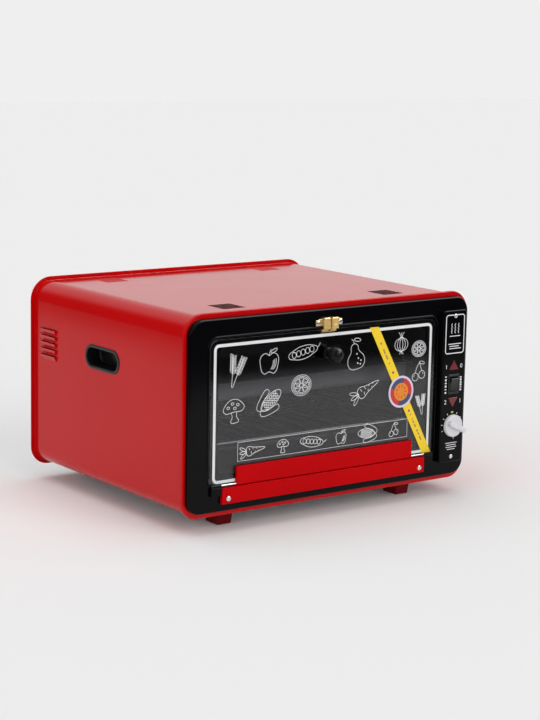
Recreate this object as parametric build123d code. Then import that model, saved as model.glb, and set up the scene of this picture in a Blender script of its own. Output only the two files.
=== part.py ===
from build123d import *
import os

# Mini oven: a red sheet-steel casing, a black pressed front panel with a glass drop-down door,
# a raised control box on the right, and the chamber, heaters and wiring inside.
# X runs to the right, Y to the back, Z up. While the pieces are drawn, Y = 0 is the casing's
# front plane and Z = 0 is the floor. save() then moves each piece so that the origin lies in
# the middle of the whole footprint. All sizes are in millimetres.

# Casing
CASE_WIDTH = 540.0
CASE_HEIGHT = 300.0
CASE_DEPTH = 430.0
SHEET = 1.0
TOP_RADIUS = 30.0
BOTTOM_RADIUS = 24.0
FRONT_BEAD = 4.0
FRONT_BEAD_DEPTH = 5.0
FRONT_BEAD_ROUND = 1.8
REAR_LIP = 6.5
REAR_LIP_DEPTH = 3.0
REAR_LIP_ROUND = 1.2
REAR_INSET = 3.0
FLANGE = 14.0
FLANGE_TOP_RADIUS = 14.0
FLANGE_BOTTOM_RADIUS = 10.0
LOUVRE_COUNT = 5
LOUVRE_SPAN = 7.5
LOUVRE_PRESS = 3.5
TOP_LOUVRE_X = 152.0
TOP_LOUVRE_FRONT_Y = 62.0
TOP_LOUVRE_REAR_SETBACK = 48.0
TOP_LOUVRE_LENGTH = 42.0
TOP_LOUVRE_PITCH = 8.6
SIDE_LOUVRE_LENGTH = 45.0
SIDE_LOUVRE_PITCH = 10.3
SIDE_LOUVRE_SETBACK = 48.0
SIDE_LOUVRE_TOP_BELOW = 70.5
BASE_MARGIN_X = 40.0
BASE_MARGIN_Y = 24.0
BASE_LAP = 8.0

# Screws, as shank radii
SMALL_SHANK = 1.6
LARGE_SHANK = 2.0

# Feet
FOOT_HEIGHT = 24.0
FOOT_X = 172.0
FOOT_FRONT_Y = 46.0
FOOT_REAR_SETBACK = 50.0
FOOT_WIDTH = 32.0
FOOT_LENGTH = 40.0
FOOT_TAPER = 8.0
FOOT_RADIUS = 6.0
FOOT_SOLE_ROUND = 2.0
FOOT_SCREW_RECESS = 8.0
FOOT_SCREW_HEAD = 4.6

# Carry cups in the two side walls
CUP_LENGTH = 97.0
CUP_HEIGHT = 37.0
CUP_RIM = 3.0
CUP_WALL = 1.5
CUP_DEPTH = 25.0
CUP_Y = 222.5
CUP_BELOW_TOP = 93.5

# Front panel and chamber mouth
PANEL_MARGIN = 6.0
PANEL_MARGIN_Z = 8.0
PANEL_SHEET = 1.2
PANEL_PROUD = 8.5
PANEL_EDGE = 3.0
DOOR_X = -15.0
MOUTH_WIDTH = 392.0
MOUTH_HEIGHT = 186.0
MOUTH_RADIUS = 10.0
MOUTH_LOW = 62.0
RECESS_DEPTH = 5.0
RECESS_GAP = 2.5
RECESS_BELOW = 1.8
RIDGE_WIDTH = 3.0
RIDGE_HEIGHT = 1.8

# Door
GLASS_WIDTH = 425.0
GLASS_HEIGHT = 214.5
GLASS_LOW = 46.5
GLASS_THICK = 4.0
GLASS_GAP = 1.0
GLASS_RADIUS = 12.0
STRIP_WIDTH = 334.0
STRIP_HIGH = 73.4
STRIP_PROUD = 5.0
BARREL_RADIUS = 2.4
ROD_RADIUS = 1.5
RUNNING_CLEARANCE = 0.05
BARREL_LOW = 45.3
BARREL_STEP = 0.05
PACKING_MARGIN = 2.5
BRACKET_WIDTH = 18.0
BRACKET_LOW = 33.0
BRACKET_THICK = 5.0
EYE_RADIUS = 2.2
APRON_WIDTH = 386.0
APRON_LOW = 19.9
APRON_HIGH = 44.6
APRON_PROUD = 6.0
APRON_SCREW_X = 182.5
APRON_SCREW_Z = 28.0
DOOR_KNOB_BELOW_TOP = 36.0
DOOR_KNOB_RADIUS = 12.5
DOOR_KNOB_NECK = 6.5
DOOR_KNOB_NECK_LENGTH = 10.0
DOOR_KNOB_BASE = 9.0
DOOR_KNOB_REACH = 30.0
WASHER_THICK = 0.8
DOOR_KNOB_SCREW = 2.5

# Brass catch at the top of the door
CATCH_HALF = 13.3
CATCH_SLOT = 2.4
CATCH_HIGH = 279.5
CATCH_LEFT_PROUD = 6.5
CATCH_RIGHT_PROUD = 7.6
CATCH_SCREW_X = 20.3
CATCH_SCREW_Z = 271.4
CATCH_PLATE = 1.0
TONGUE = 1.4
TONGUE_HEIGHT = 10.0
STRIKE_LAP = 3.0

# Control box
BOX_X = 227.8
BOX_WIDTH = 47.0
BOX_LOW = 31.0
BOX_HEIGHT = 242.0
BOX_PROUD = 11.3
BOX_WALL = 1.2
BOX_RADIUS = 5.0
BOX_ROUND = 2.0
BOX_POST = 4.0
BOX_SCREW_INSET = 9.0
LAMP_WIDTH = 19.5
LAMP_TALL = 15.5
LAMP_PROUD = 0.6
LAMP_UPPER_BASE = 179.0
LAMP_LOWER_BASE = 134.6
LAMP_HOLDER = 5.0
SWITCH_Z = 156.0
SWITCH_WIDTH = 20.0
SWITCH_HEIGHT = 28.0
SWITCH_BEZEL = 1.6
SWITCH_LENGTH = 24.0
BUTTON_WIDTH = 15.0
BUTTON_HEIGHT = 21.0
BUTTON_GAP = 0.5
BUTTON_PIVOT_DEPTH = 1.0
BUTTON_PIN = 1.2
BUTTON_TILT = 9.0
DIAL_Z = 90.0
DIAL_RADIUS = 17.8
DIAL_DISC = 5.6
DIAL_GRIP_WIDTH = 9.5
DIAL_GRIP_HEIGHT = 8.5
DIAL_POINTER = 21.0
DIAL_ANGLE = -25.0
DIAL_GAP = 0.8
SHAFT_RADIUS = 3.0
SHAFT_FLAT = 2.2
BUSHING_RADIUS = 5.0
THERMOSTAT_WIDTH = 36.0
THERMOSTAT_HEIGHT = 42.0
THERMOSTAT_DEPTH = 24.0
THERMOSTAT_SCREW_X = 13.0

# Chamber and what is in it
CAVITY_SIDE = 2.0
CAVITY_DEPTH = 343.0
CAVITY_WALL = 1.0
BLANKET = 12.0
ELEMENT_RADIUS = 3.25
ELEMENT_FRONT_Y = 80.0
ELEMENT_REAR_Y = 280.0
ELEMENT_BEND = 30.0
ELEMENT_COLLAR = 6.0
ELEMENT_LEFT = 22.0
ELEMENT_TAIL = 21.0
ELEMENT_FROM_WALL = 17.0
HOOK_WIDTH = 10.0
BULB_Y = 165.0
BULB_FROM_WALL = 8.0
BULB_BELOW_ROOF = 28.0
BULB_RADIUS = 3.0
BULB_LENGTH = 90.0
CAPILLARY_RADIUS = 0.9
SUPPORT_HALF = 120.0
SUPPORT_SETBACK = 30.0
SUPPORT_FOOT = 18.0
SUPPORT_SHEET = 1.5
BLANKET_FRONT_Y = 20.0
BLANKET_SETBACK = 20.0
RAIL_RADIUS = 2.2
RAIL_FROM_WALL = 6.3
RAIL_UPPER = 14.0
RAIL_LEVELS = (37.0, 82.0, 127.0)
RAIL_FRONT_Y = 20.0
RAIL_LENGTH = 300.0
POST_SETBACK = 30.0
SHELF_REST = 0.3
RACK_FRAME = 2.5
RACK_SIDE_GAP = 0.9
RACK_WIRE = 1.5
RACK_WIRES = 15
RACK_FRONT_Y = 20.0
RACK_LENGTH = 298.0
TRAY_SIDE = 6.0
TRAY_DEPTH = 28.0
TRAY_WALL = 1.0

# Rear
GLAND_X = 205.0
GLAND_Z = 40.0
GLAND_BORE = 4.0
GLAND_RADIUS = 12.0
GLAND_PROUD = 12.0
VENT_LENGTH = 70.0
VENT_HEIGHT = 5.0
VENT_ROWS = 6
VENT_PITCH = 13.0
VENT_X = 110.0
VENT_ABOVE_MIDDLE = 40.0
BASE_VENT_X = 60.0
GLAND_NECK = 7.8
TERMINAL_SETBACK = 39.0
TERMINAL_LENGTH = 18.0
TERMINAL_HEIGHT = 20.0
WIRE_RADIUS = 1.6

# Paper band across the glass
BAND_WIDTH = 15.5
BAND_THICK = 0.3
BAND_TOP = (88.5, 209.5)
BAND_BOTTOM = (202.0, 1.0)
DISC_RADIUS = 25.0

# Places worked out from the sizes above
SKIN_WIDTH = CASE_WIDTH - 2 * FRONT_BEAD
SKIN_HEIGHT = CASE_HEIGHT - 2 * FRONT_BEAD
CASE_MID_Z = FOOT_HEIGHT + CASE_HEIGHT / 2
SKIN_TOP = CASE_MID_Z + SKIN_HEIGHT / 2
SKIN_BOTTOM = CASE_MID_Z - SKIN_HEIGHT / 2
TOP_LOUVRE_REAR_Y = CASE_DEPTH - TOP_LOUVRE_REAR_SETBACK
FOOT_REAR_Y = CASE_DEPTH - FOOT_REAR_SETBACK
PANEL_FACE = -PANEL_PROUD
PANEL_BACK = PANEL_FACE + PANEL_SHEET
PANEL_WIDTH = CASE_WIDTH - 2 * PANEL_MARGIN
PANEL_HEIGHT = CASE_HEIGHT - 2 * PANEL_MARGIN_Z
RECESS_FACE = PANEL_FACE + RECESS_DEPTH
RECESS_BACK = RECESS_FACE + PANEL_SHEET
GLASS_BACK = RECESS_FACE - GLASS_GAP
GLASS_FRONT = GLASS_BACK - GLASS_THICK
GLASS_BOTTOM = FOOT_HEIGHT + GLASS_LOW
GLASS_TOP = GLASS_BOTTOM + GLASS_HEIGHT
DOOR_KNOB_CENTRE_Z = GLASS_TOP - DOOR_KNOB_BELOW_TOP
STRIP_FACE = GLASS_FRONT - STRIP_PROUD
HINGE_Y = STRIP_FACE + BARREL_STEP + BARREL_RADIUS
HINGE_Z = FOOT_HEIGHT + BARREL_LOW + BARREL_RADIUS
MOUTH_Z = FOOT_HEIGHT + MOUTH_LOW + MOUTH_HEIGHT / 2
CAVITY_WIDTH = MOUTH_WIDTH + 2 * CAVITY_SIDE
CAVITY_HEIGHT = MOUTH_HEIGHT + 2 * CAVITY_SIDE
CAVITY_LEFT = DOOR_X - CAVITY_WIDTH / 2
CAVITY_RIGHT = DOOR_X + CAVITY_WIDTH / 2
CAVITY_FLOOR = MOUTH_Z - CAVITY_HEIGHT / 2
CAVITY_ROOF = MOUTH_Z + CAVITY_HEIGHT / 2
CAVITY_END = RECESS_BACK + CAVITY_DEPTH
BOX_FACE = PANEL_FACE - BOX_PROUD
APRON_FACE = PANEL_FACE - APRON_PROUD
BOX_BOTTOM = FOOT_HEIGHT + BOX_LOW
BOX_TOP = BOX_BOTTOM + BOX_HEIGHT
BASE_TOP = SKIN_BOTTOM
REAR_FACE = CASE_DEPTH - REAR_INSET
TERMINAL_FRONT = REAR_FACE - TERMINAL_SETBACK - TERMINAL_LENGTH
KNOB_FRONT = GLASS_FRONT - DOOR_KNOB_REACH
GLAND_END = REAR_FACE + SHEET + GLAND_PROUD
Y_SHIFT = -(KNOB_FRONT + GLAND_END) / 2


def box(x0, x1, y0, y1, z0, z1):
    """A block between two corners."""
    size = Box(x1 - x0, y1 - y0, z1 - z0)
    return Pos((x0 + x1) / 2, (y0 + y1) / 2, (z0 + z1) / 2) * size


def bar(start, end, radius):
    """A round bar from one point to another."""
    a, b = Vector(*start), Vector(*end)
    along = Plane(origin=a, z_dir=b - a)
    return along * Cylinder(radius, (b - a).length, align=(Align.CENTER, Align.CENTER, Align.MIN))


def slab_y(outline, y0, y1, x=0.0, z=0.0):
    """An outline seen from the front, made solid from y0 to y1."""
    return Pos(x, y1, z) * extrude(Plane.XZ * outline, y1 - y0)


def slab_x(outline, x0, x1):
    """An outline in (Y, Z), made solid from x0 to x1."""
    return Pos(x0, 0, 0) * extrude(Plane.YZ * outline, x1 - x0)


def rounded(width, height, top_radius, bottom_radius):
    """A rectangle whose upper and lower corners have their own radii."""
    shape = Rectangle(width, height)
    shape = fillet(shape.vertices().group_by(Axis.Y)[0], bottom_radius)
    return fillet(shape.vertices().group_by(Axis.Y)[-1], top_radius)


def skin_outline(grow):
    """The casing's cross-section, grown outwards by a distance."""
    return rounded(SKIN_WIDTH + 2 * grow, SKIN_HEIGHT + 2 * grow, TOP_RADIUS + grow, BOTTOM_RADIUS + grow)


def tube(points, radii, radius):
    """A round tube along straight runs joined by arcs."""
    path = FilletPolyline(*points, radius=radii)
    section = Plane(origin=path @ 0, z_dir=path % 0) * Circle(radius)
    return sweep(section, path=path)


def pan_screw(head_radius, head_height, shank_radius, length):
    """A pan-head screw along +Y: its head is in front of Y = 0 and its shank behind."""
    head = slab_y(Circle(head_radius), -head_height, 0)
    head = fillet(head.edges().group_by(Axis.Y)[0], head_height * 0.6)
    slot = box(-head_radius, head_radius, -head_height - 1, -head_height * 0.55, -0.5, 0.5)
    return head - slot + slab_y(Circle(shank_radius), 0, length)


def save(name, shape):
    """Writes one piece, with the origin moved to the middle of the footprint."""
    export_step(Pos(0, Y_SHIFT, 0) * shape, f"parts/{name}.step")


def rear_screw_places():
    """The rear cover's screws: three along each long edge and one in each side."""
    half_x = SKIN_WIDTH / 2 - FLANGE / 2 - SHEET
    half_z = SKIN_HEIGHT / 2 - FLANGE / 2 - SHEET
    rows = [(x, z) for x in (-half_x * 0.7, 0, half_x * 0.7) for z in (-half_z, half_z)]
    return rows + [(-half_x, 0), (half_x, 0)]


def louvre(length):
    """A louvre pressed into a sheet whose outer face is Z = 0, as (cut, pressing).

    Its slit lies along X at Y = 0, and the sheet comes back up to the face towards +Y.
    """
    half = length / 2
    slope = [(0, -LOUVRE_PRESS), (0, -LOUVRE_PRESS - SHEET), (LOUVRE_SPAN, -SHEET), (LOUVRE_SPAN, 0)]
    pressing = slab_x(make_face(Polyline(*slope, close=True)), -half, half)
    end = [(0, 0)] + slope[1:]
    for x in (-half, half - SHEET):
        pressing += slab_x(make_face(Polyline(*end, close=True)), x, x + SHEET)
    return box(-half, half, 0, LOUVRE_SPAN, -SHEET, 1), pressing


def louvre_planes():
    """Each louvre's length and the plane it lies in: four fields in the top, one in each side."""
    places = []
    half = SKIN_WIDTH / 2
    reach = ((LOUVRE_COUNT - 1) * TOP_LOUVRE_PITCH + LOUVRE_SPAN) / 2
    for step in range(LOUVRE_COUNT):
        for x in (-TOP_LOUVRE_X, TOP_LOUVRE_X):
            for y, side in ((TOP_LOUVRE_FRONT_Y, -1), (TOP_LOUVRE_REAR_Y, 1)):
                origin = (x, y - side * (reach - step * TOP_LOUVRE_PITCH), SKIN_TOP)
                places.append((TOP_LOUVRE_LENGTH, Plane(origin=origin, x_dir=(side, 0, 0), z_dir=(0, 0, 1))))
        for side in (-1, 1):
            z = SKIN_TOP - SIDE_LOUVRE_TOP_BELOW - step * SIDE_LOUVRE_PITCH
            origin = (side * half, CASE_DEPTH - SIDE_LOUVRE_SETBACK, z)
            places.append((SIDE_LOUVRE_LENGTH, Plane(origin=origin, x_dir=(0, -side, 0), z_dir=(side, 0, 0))))
    return places


def outer_casing():
    """Red wrap with a rounded front bead, a rear lip, pressed louvres and the cups' holes."""
    inner = skin_outline(-SHEET)
    clear = slab_y(inner, -1, CASE_DEPTH + 1, z=CASE_MID_Z)
    bead = slab_y(skin_outline(FRONT_BEAD), 0, FRONT_BEAD_DEPTH, z=CASE_MID_Z)
    bead = fillet(bead.edges().group_by(Axis.Y)[0], FRONT_BEAD_ROUND)
    lip = slab_y(skin_outline(REAR_LIP), CASE_DEPTH - REAR_LIP_DEPTH, CASE_DEPTH, z=CASE_MID_Z)
    lip = fillet(lip.edges().group_by(Axis.Y)[-1], REAR_LIP_ROUND)
    shell = slab_y(skin_outline(0), 0, CASE_DEPTH, z=CASE_MID_Z) + bead + lip - clear
    open_width, open_height = SKIN_WIDTH - 2 * FLANGE, SKIN_HEIGHT - 2 * FLANGE
    window = rounded(open_width, open_height, FLANGE_TOP_RADIUS, FLANGE_BOTTOM_RADIUS)
    for y in (0, REAR_FACE - SHEET):
        shell += slab_y(inner, y, y + SHEET, z=CASE_MID_Z) - slab_y(window, y - 1, y + 2, z=CASE_MID_Z)
    for length, plane in louvre_planes():
        cut, pressing = louvre(length)
        shell = shell - plane * cut + plane * pressing
    cup_hole = SlotOverall(CUP_LENGTH - 2 * CUP_RIM, CUP_HEIGHT - 2 * CUP_RIM)
    shell -= slab_x(Pos(CUP_Y, SKIN_TOP - CUP_BELOW_TOP) * cup_hole, -CASE_WIDTH, CASE_WIDTH)
    base_x = SKIN_WIDTH / 2 - BASE_MARGIN_X
    shell -= box(-base_x, base_x, BASE_MARGIN_Y, CASE_DEPTH - BASE_MARGIN_Y, 0, SKIN_BOTTOM + 2 * SHEET)
    for x, z in rear_screw_places():
        shell -= slab_y(Circle(SMALL_SHANK), REAR_FACE - 9, REAR_FACE + 1, x, CASE_MID_Z + z)
    return shell


def rear_cover():
    """Flat back plate with two fields of vent slots and the gland's hole."""
    cover = slab_y(skin_outline(-SHEET - 1.5), REAR_FACE, REAR_FACE + SHEET, z=CASE_MID_Z)
    for x in (-VENT_X, VENT_X):
        for row in range(VENT_ROWS):
            z = CASE_MID_Z + VENT_ABOVE_MIDDLE + (row - (VENT_ROWS - 1) / 2) * VENT_PITCH
            cover -= slab_y(SlotOverall(VENT_LENGTH, VENT_HEIGHT), REAR_FACE - 1, REAR_FACE + 2, x, z)
    for x, z in rear_screw_places():
        cover -= slab_y(Circle(SMALL_SHANK), REAR_FACE - 1, REAR_FACE + 2, x, CASE_MID_Z + z)
    gland_hole = Circle(GLAND_NECK + 0.2)
    return cover - slab_y(gland_hole, REAR_FACE - 1, REAR_FACE + 2, GLAND_X, FOOT_HEIGHT + GLAND_Z)


def foot_places():
    """The four feet's middles, as (X, Y)."""
    return {
        "front_left": (-FOOT_X, FOOT_FRONT_Y),
        "front_right": (FOOT_X, FOOT_FRONT_Y),
        "rear_left": (-FOOT_X, FOOT_REAR_Y),
        "rear_right": (FOOT_X, FOOT_REAR_Y),
    }


def base_plate():
    """Bottom closing plate under the casing's returns, with air slots and foot screw holes."""
    half = SKIN_WIDTH / 2 - BASE_MARGIN_X + BASE_LAP
    y0, y1 = BASE_MARGIN_Y - BASE_LAP, CASE_DEPTH - BASE_MARGIN_Y + BASE_LAP
    plate = box(-half, half, y0, y1, BASE_TOP - SHEET, BASE_TOP)
    for row in range(VENT_ROWS):
        for x in (-BASE_VENT_X, BASE_VENT_X):
            y = CASE_DEPTH / 2 + (row - (VENT_ROWS - 1) / 2) * 2 * VENT_PITCH
            plate -= Pos(x, y, BASE_TOP - 2) * extrude(SlotOverall(VENT_LENGTH, VENT_HEIGHT), 4)
    for x, y in foot_places().values():
        plate -= Pos(x, y, BASE_TOP) * Cylinder(LARGE_SHANK + 0.2, 8)
    return plate


def foot(x, y):
    """Tapered pressed foot, wide at the base plate, with its screw sunk in the sole."""
    top = BASE_TOP - SHEET
    body = extrude(RectangleRounded(FOOT_WIDTH, FOOT_LENGTH, FOOT_RADIUS), top, taper=FOOT_TAPER)
    body = Pos(x, y, top) * Rot(180, 0, 0) * body
    body = fillet(body.edges().group_by(Axis.Z)[0], FOOT_SOLE_ROUND)
    body -= Pos(x, y, FOOT_SCREW_RECESS / 2) * Cylinder(FOOT_SCREW_HEAD + 0.6, FOOT_SCREW_RECESS)
    return body - bar((x, y, 0), (x, y, top), LARGE_SHANK)


def foot_screws():
    """The screw in each foot, heads in the sole and shanks through the base plate."""
    screw = Rot(90, 0, 0) * pan_screw(FOOT_SCREW_HEAD, 2.6, LARGE_SHANK, BASE_TOP - FOOT_SCREW_RECESS + 3)
    return [Pos(x, y, FOOT_SCREW_RECESS) * screw for x, y in foot_places().values()]


def panel_outline(shrink):
    """The front panel's outline, shrunk inwards by a distance."""
    width = PANEL_WIDTH - 2 * shrink
    height = PANEL_HEIGHT - 2 * shrink
    return rounded(width, height, TOP_RADIUS - 6 - shrink, BOTTOM_RADIUS - 2 - shrink)


def triangle(base_z, points_up, grow=0.0):
    """A lamp window's triangle, in (X, Z) about the control box's middle line."""
    half, tall = LAMP_WIDTH / 2 + 1.6 * grow, LAMP_TALL + 2.6 * grow
    sign = 1 if points_up else -1
    base = FOOT_HEIGHT + base_z - sign * grow
    corners = [(BOX_X - half, base), (BOX_X + half, base), (BOX_X, base + sign * tall)]
    return make_face(Polyline(*corners, close=True))


def lamp_centre(base, up):
    """The middle of a lamp's triangle, as a height."""
    return FOOT_HEIGHT + base + (LAMP_TALL / 3 if up else -LAMP_TALL / 3)


def panel_hole(outline, x, above_feet):
    """A cut through the front panel's sheet, at a height above the feet."""
    return slab_y(outline, PANEL_FACE - 1, PANEL_BACK + 1, x, FOOT_HEIGHT + above_feet)


def front_panel():
    """Black pressed pan: a recess with a raised ridge for the glass, and the chamber's mouth."""
    pan = slab_y(panel_outline(0), PANEL_FACE, 0, z=CASE_MID_Z)
    pan = fillet(pan.edges().group_by(Axis.Y)[0], PANEL_EDGE)
    pan -= slab_y(panel_outline(PANEL_SHEET), PANEL_BACK, 1, z=CASE_MID_Z)
    width = GLASS_WIDTH + 2 * RECESS_GAP
    height = GLASS_HEIGHT + RECESS_GAP + RECESS_BELOW
    radius = GLASS_RADIUS + RECESS_GAP
    z = (GLASS_BOTTOM - RECESS_BELOW + GLASS_TOP + RECESS_GAP) / 2
    sheet, bead = 2 * PANEL_SHEET, 2 * RIDGE_WIDTH
    dish = RectangleRounded(width + sheet, height + sheet, radius + PANEL_SHEET)
    pan += slab_y(dish, PANEL_BACK - 0.5, RECESS_BACK, DOOR_X, z)
    ridge = RectangleRounded(width + bead, height + bead, radius + RIDGE_WIDTH)
    ridge = slab_y(ridge, PANEL_FACE - RIDGE_HEIGHT, PANEL_FACE + 0.4, DOOR_X, z)
    pan += ridge - box(-CASE_WIDTH, CASE_WIDTH, -30, 0, 0, GLASS_BOTTOM - RECESS_BELOW + radius)
    for side in (-1, 1):
        x = DOOR_X + side * (width + RIDGE_WIDTH) / 2
        half = RIDGE_WIDTH / 2
        z0, z1 = GLASS_BOTTOM, GLASS_BOTTOM - RECESS_BELOW + radius
        pan += box(x - half, x + half, PANEL_FACE - RIDGE_HEIGHT, PANEL_FACE + 0.4, z0, z1)
    pan -= slab_y(RectangleRounded(width, height, radius), PANEL_FACE - 5, RECESS_FACE, DOOR_X, z)
    mouth = RectangleRounded(MOUTH_WIDTH, MOUTH_HEIGHT, MOUTH_RADIUS)
    pan -= slab_y(mouth, PANEL_FACE - 5, 1, DOOR_X, MOUTH_Z)
    for x in (-APRON_SCREW_X, APRON_SCREW_X):
        pan -= panel_hole(Circle(LARGE_SHANK), DOOR_X + x, APRON_SCREW_Z)
    for x in (-CATCH_SCREW_X, CATCH_SCREW_X):
        pan -= panel_hole(Circle(SMALL_SHANK), DOOR_X + x, CATCH_SCREW_Z)
    for z in (BOX_LOW + BOX_SCREW_INSET, BOX_LOW + BOX_HEIGHT - BOX_SCREW_INSET):
        pan -= panel_hole(Circle(SMALL_SHANK), BOX_X, z)
    for base, up in ((LAMP_UPPER_BASE, True), (LAMP_LOWER_BASE, False)):
        pan -= panel_hole(Circle(LAMP_HOLDER + 0.5), BOX_X, lamp_centre(base, up) - FOOT_HEIGHT)
    pan -= panel_hole(Rectangle(SWITCH_WIDTH + 1, SWITCH_HEIGHT + 1), BOX_X, SWITCH_Z)
    pan -= panel_hole(Circle(BUSHING_RADIUS + 0.3), BOX_X, DIAL_Z)
    for x in (-THERMOSTAT_SCREW_X, THERMOSTAT_SCREW_X):
        pan -= panel_hole(Circle(SMALL_SHANK), BOX_X + x, DIAL_Z)
    return pan


def control_box():
    """Raised black cover that carries the lamps, the switch and the dial."""
    mid = (BOX_BOTTOM + BOX_TOP) / 2
    cover = slab_y(RectangleRounded(BOX_WIDTH, BOX_HEIGHT, BOX_RADIUS), BOX_FACE, PANEL_FACE, BOX_X, mid)
    cover = fillet(cover.edges().group_by(Axis.Y)[0], BOX_ROUND)
    wall = 2 * BOX_WALL
    hollow = RectangleRounded(BOX_WIDTH - wall, BOX_HEIGHT - wall, BOX_RADIUS - BOX_WALL)
    cover -= slab_y(hollow, BOX_FACE + BOX_WALL, PANEL_FACE + 1, BOX_X, mid)
    for z in (BOX_BOTTOM + BOX_SCREW_INSET, BOX_TOP - BOX_SCREW_INSET):
        cover += slab_y(Circle(BOX_POST), BOX_FACE + BOX_WALL / 2, PANEL_FACE, BOX_X, z)
        cover -= slab_y(Circle(SMALL_SHANK), BOX_FACE - 1, PANEL_FACE + 1, BOX_X, z)
    cover -= slab_y(triangle(LAMP_UPPER_BASE, True), BOX_FACE - 1, BOX_FACE + BOX_WALL + 1)
    cover -= slab_y(triangle(LAMP_LOWER_BASE, False), BOX_FACE - 1, BOX_FACE + BOX_WALL + 1)
    switch = Rectangle(SWITCH_WIDTH, SWITCH_HEIGHT)
    cover -= slab_y(switch, BOX_FACE - 1, BOX_FACE + BOX_WALL + 1, BOX_X, FOOT_HEIGHT + SWITCH_Z)
    return cover - slab_y(Circle(SHAFT_RADIUS + 1), BOX_FACE - 1, BOX_FACE + 3, BOX_X, FOOT_HEIGHT + DIAL_Z)


def lamp_lens(base, up):
    """Red triangular lens: its rim stays behind the cover and its face stands proud."""
    face = slab_y(triangle(base, up), BOX_FACE - LAMP_PROUD, BOX_FACE + BOX_WALL)
    face = fillet(face.edges().group_by(Axis.Y)[0], 0.6)
    return face + slab_y(triangle(base, up, grow=1.0), BOX_FACE + BOX_WALL, BOX_FACE + BOX_WALL + 1)


def lamp_parts():
    """Holders behind the lenses, and the neon bulbs in them."""
    holders, bulbs = [], []
    y0 = BOX_FACE + BOX_WALL + 1
    for base, up in ((LAMP_UPPER_BASE, True), (LAMP_LOWER_BASE, False)):
        z = lamp_centre(base, up)
        sleeve = slab_y(Circle(LAMP_HOLDER), y0, y0 + 20, BOX_X, z)
        holders.append(sleeve - slab_y(Circle(3.2), y0 - 1, y0 + 16, BOX_X, z))
        bulb = slab_y(Circle(2.6), y0 + 3, y0 + 16, BOX_X, z)
        bulbs.append(fillet(bulb.edges().group_by(Axis.Y)[0], 2.2))
    return holders, bulbs


def rocker_pivot():
    """Where the rocker's pin lies, as (Y, Z)."""
    return BOX_FACE + BUTTON_PIVOT_DEPTH, FOOT_HEIGHT + SWITCH_Z


def rocker_switch_body():
    """Snap-in switch housing with its bezel, a well for the button and three tags."""
    pivot_y, z = rocker_pivot()
    bezel = RectangleRounded(SWITCH_WIDTH + 3, SWITCH_HEIGHT + 3, 1.5)
    body = slab_y(bezel, BOX_FACE - SWITCH_BEZEL, BOX_FACE, BOX_X, z)
    body = fillet(body.edges().group_by(Axis.Y)[0], 0.7)
    body += slab_y(Rectangle(SWITCH_WIDTH, SWITCH_HEIGHT), BOX_FACE, BOX_FACE + SWITCH_LENGTH, BOX_X, z)
    well = Rectangle(BUTTON_WIDTH + 2 * BUTTON_GAP, BUTTON_HEIGHT + 6 * BUTTON_GAP)
    body -= slab_y(well, BOX_FACE - 5, BOX_FACE + 11, BOX_X, z)
    pin = BUTTON_PIN + RUNNING_CLEARANCE
    reach = SWITCH_WIDTH / 2 - 0.8
    body -= bar((BOX_X - reach, pivot_y, z), (BOX_X + reach, pivot_y, z), pin)
    for step in (-8, 0, 8):
        y0 = BOX_FACE + SWITCH_LENGTH
        body += box(BOX_X - 3, BOX_X + 3, y0, y0 + 7, z + step - 0.4, z + step + 0.4)
    return body


def rocker_button():
    """Dished rocker on its pin, with the lower end pressed in."""
    pivot_y, z = rocker_pivot()
    half = BUTTON_HEIGHT / 2
    outline = [(-5.2, half), (-3.0, 0), (-5.2, -half), (2.0, -half), (5.0, -4.0), (5.0, 4.0), (2.0, half)]
    block = slab_x(make_face(Polyline(*outline, close=True)), -BUTTON_WIDTH / 2, BUTTON_WIDTH / 2)
    block = fillet(block.edges().filter_by(Axis.X).group_by(Axis.Y)[0], 0.9)
    reach = SWITCH_WIDTH / 2 - 0.8 - BUTTON_GAP
    block += bar((-reach, 0, 0), (reach, 0, 0), BUTTON_PIN)
    return Pos(BOX_X, pivot_y, z) * Rot(BUTTON_TILT, 0, 0) * block


def thermostat_body():
    """Thermostat housing behind the panel, with its bushing and a bore for the shaft."""
    z = FOOT_HEIGHT + DIAL_Z
    housing = Rectangle(THERMOSTAT_WIDTH, THERMOSTAT_HEIGHT)
    body = slab_y(housing, PANEL_BACK, PANEL_BACK + THERMOSTAT_DEPTH, BOX_X, z)
    body = fillet(body.edges().filter_by(Axis.Y), 3)
    body += slab_y(Circle(BUSHING_RADIUS), PANEL_FACE - 4, PANEL_BACK, BOX_X, z)
    body -= slab_y(Circle(SHAFT_RADIUS + RUNNING_CLEARANCE), PANEL_FACE - 5, PANEL_BACK + 8, BOX_X, z)
    for x in (-THERMOSTAT_SCREW_X, THERMOSTAT_SCREW_X):
        body -= slab_y(Circle(SMALL_SHANK), PANEL_BACK - 1, PANEL_BACK + 6, BOX_X + x, z)
    return body


def shaft_section(radius):
    """A round section with the shaft's flat on its upper side."""
    return Circle(radius) - Pos(0, SHAFT_FLAT + radius) * Rectangle(3 * radius, 2 * radius)


def thermostat_shaft():
    """Steel shaft: round in the bushing, flatted in the dial."""
    z = FOOT_HEIGHT + DIAL_Z
    seat = BOX_FACE - DIAL_GAP
    flatted = Rot(0, -DIAL_ANGLE, 0) * slab_y(shaft_section(SHAFT_RADIUS), seat - 10, seat)
    return Pos(BOX_X, 0, z) * flatted + slab_y(Circle(SHAFT_RADIUS), seat, PANEL_BACK + 7.5, BOX_X, z)


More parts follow.
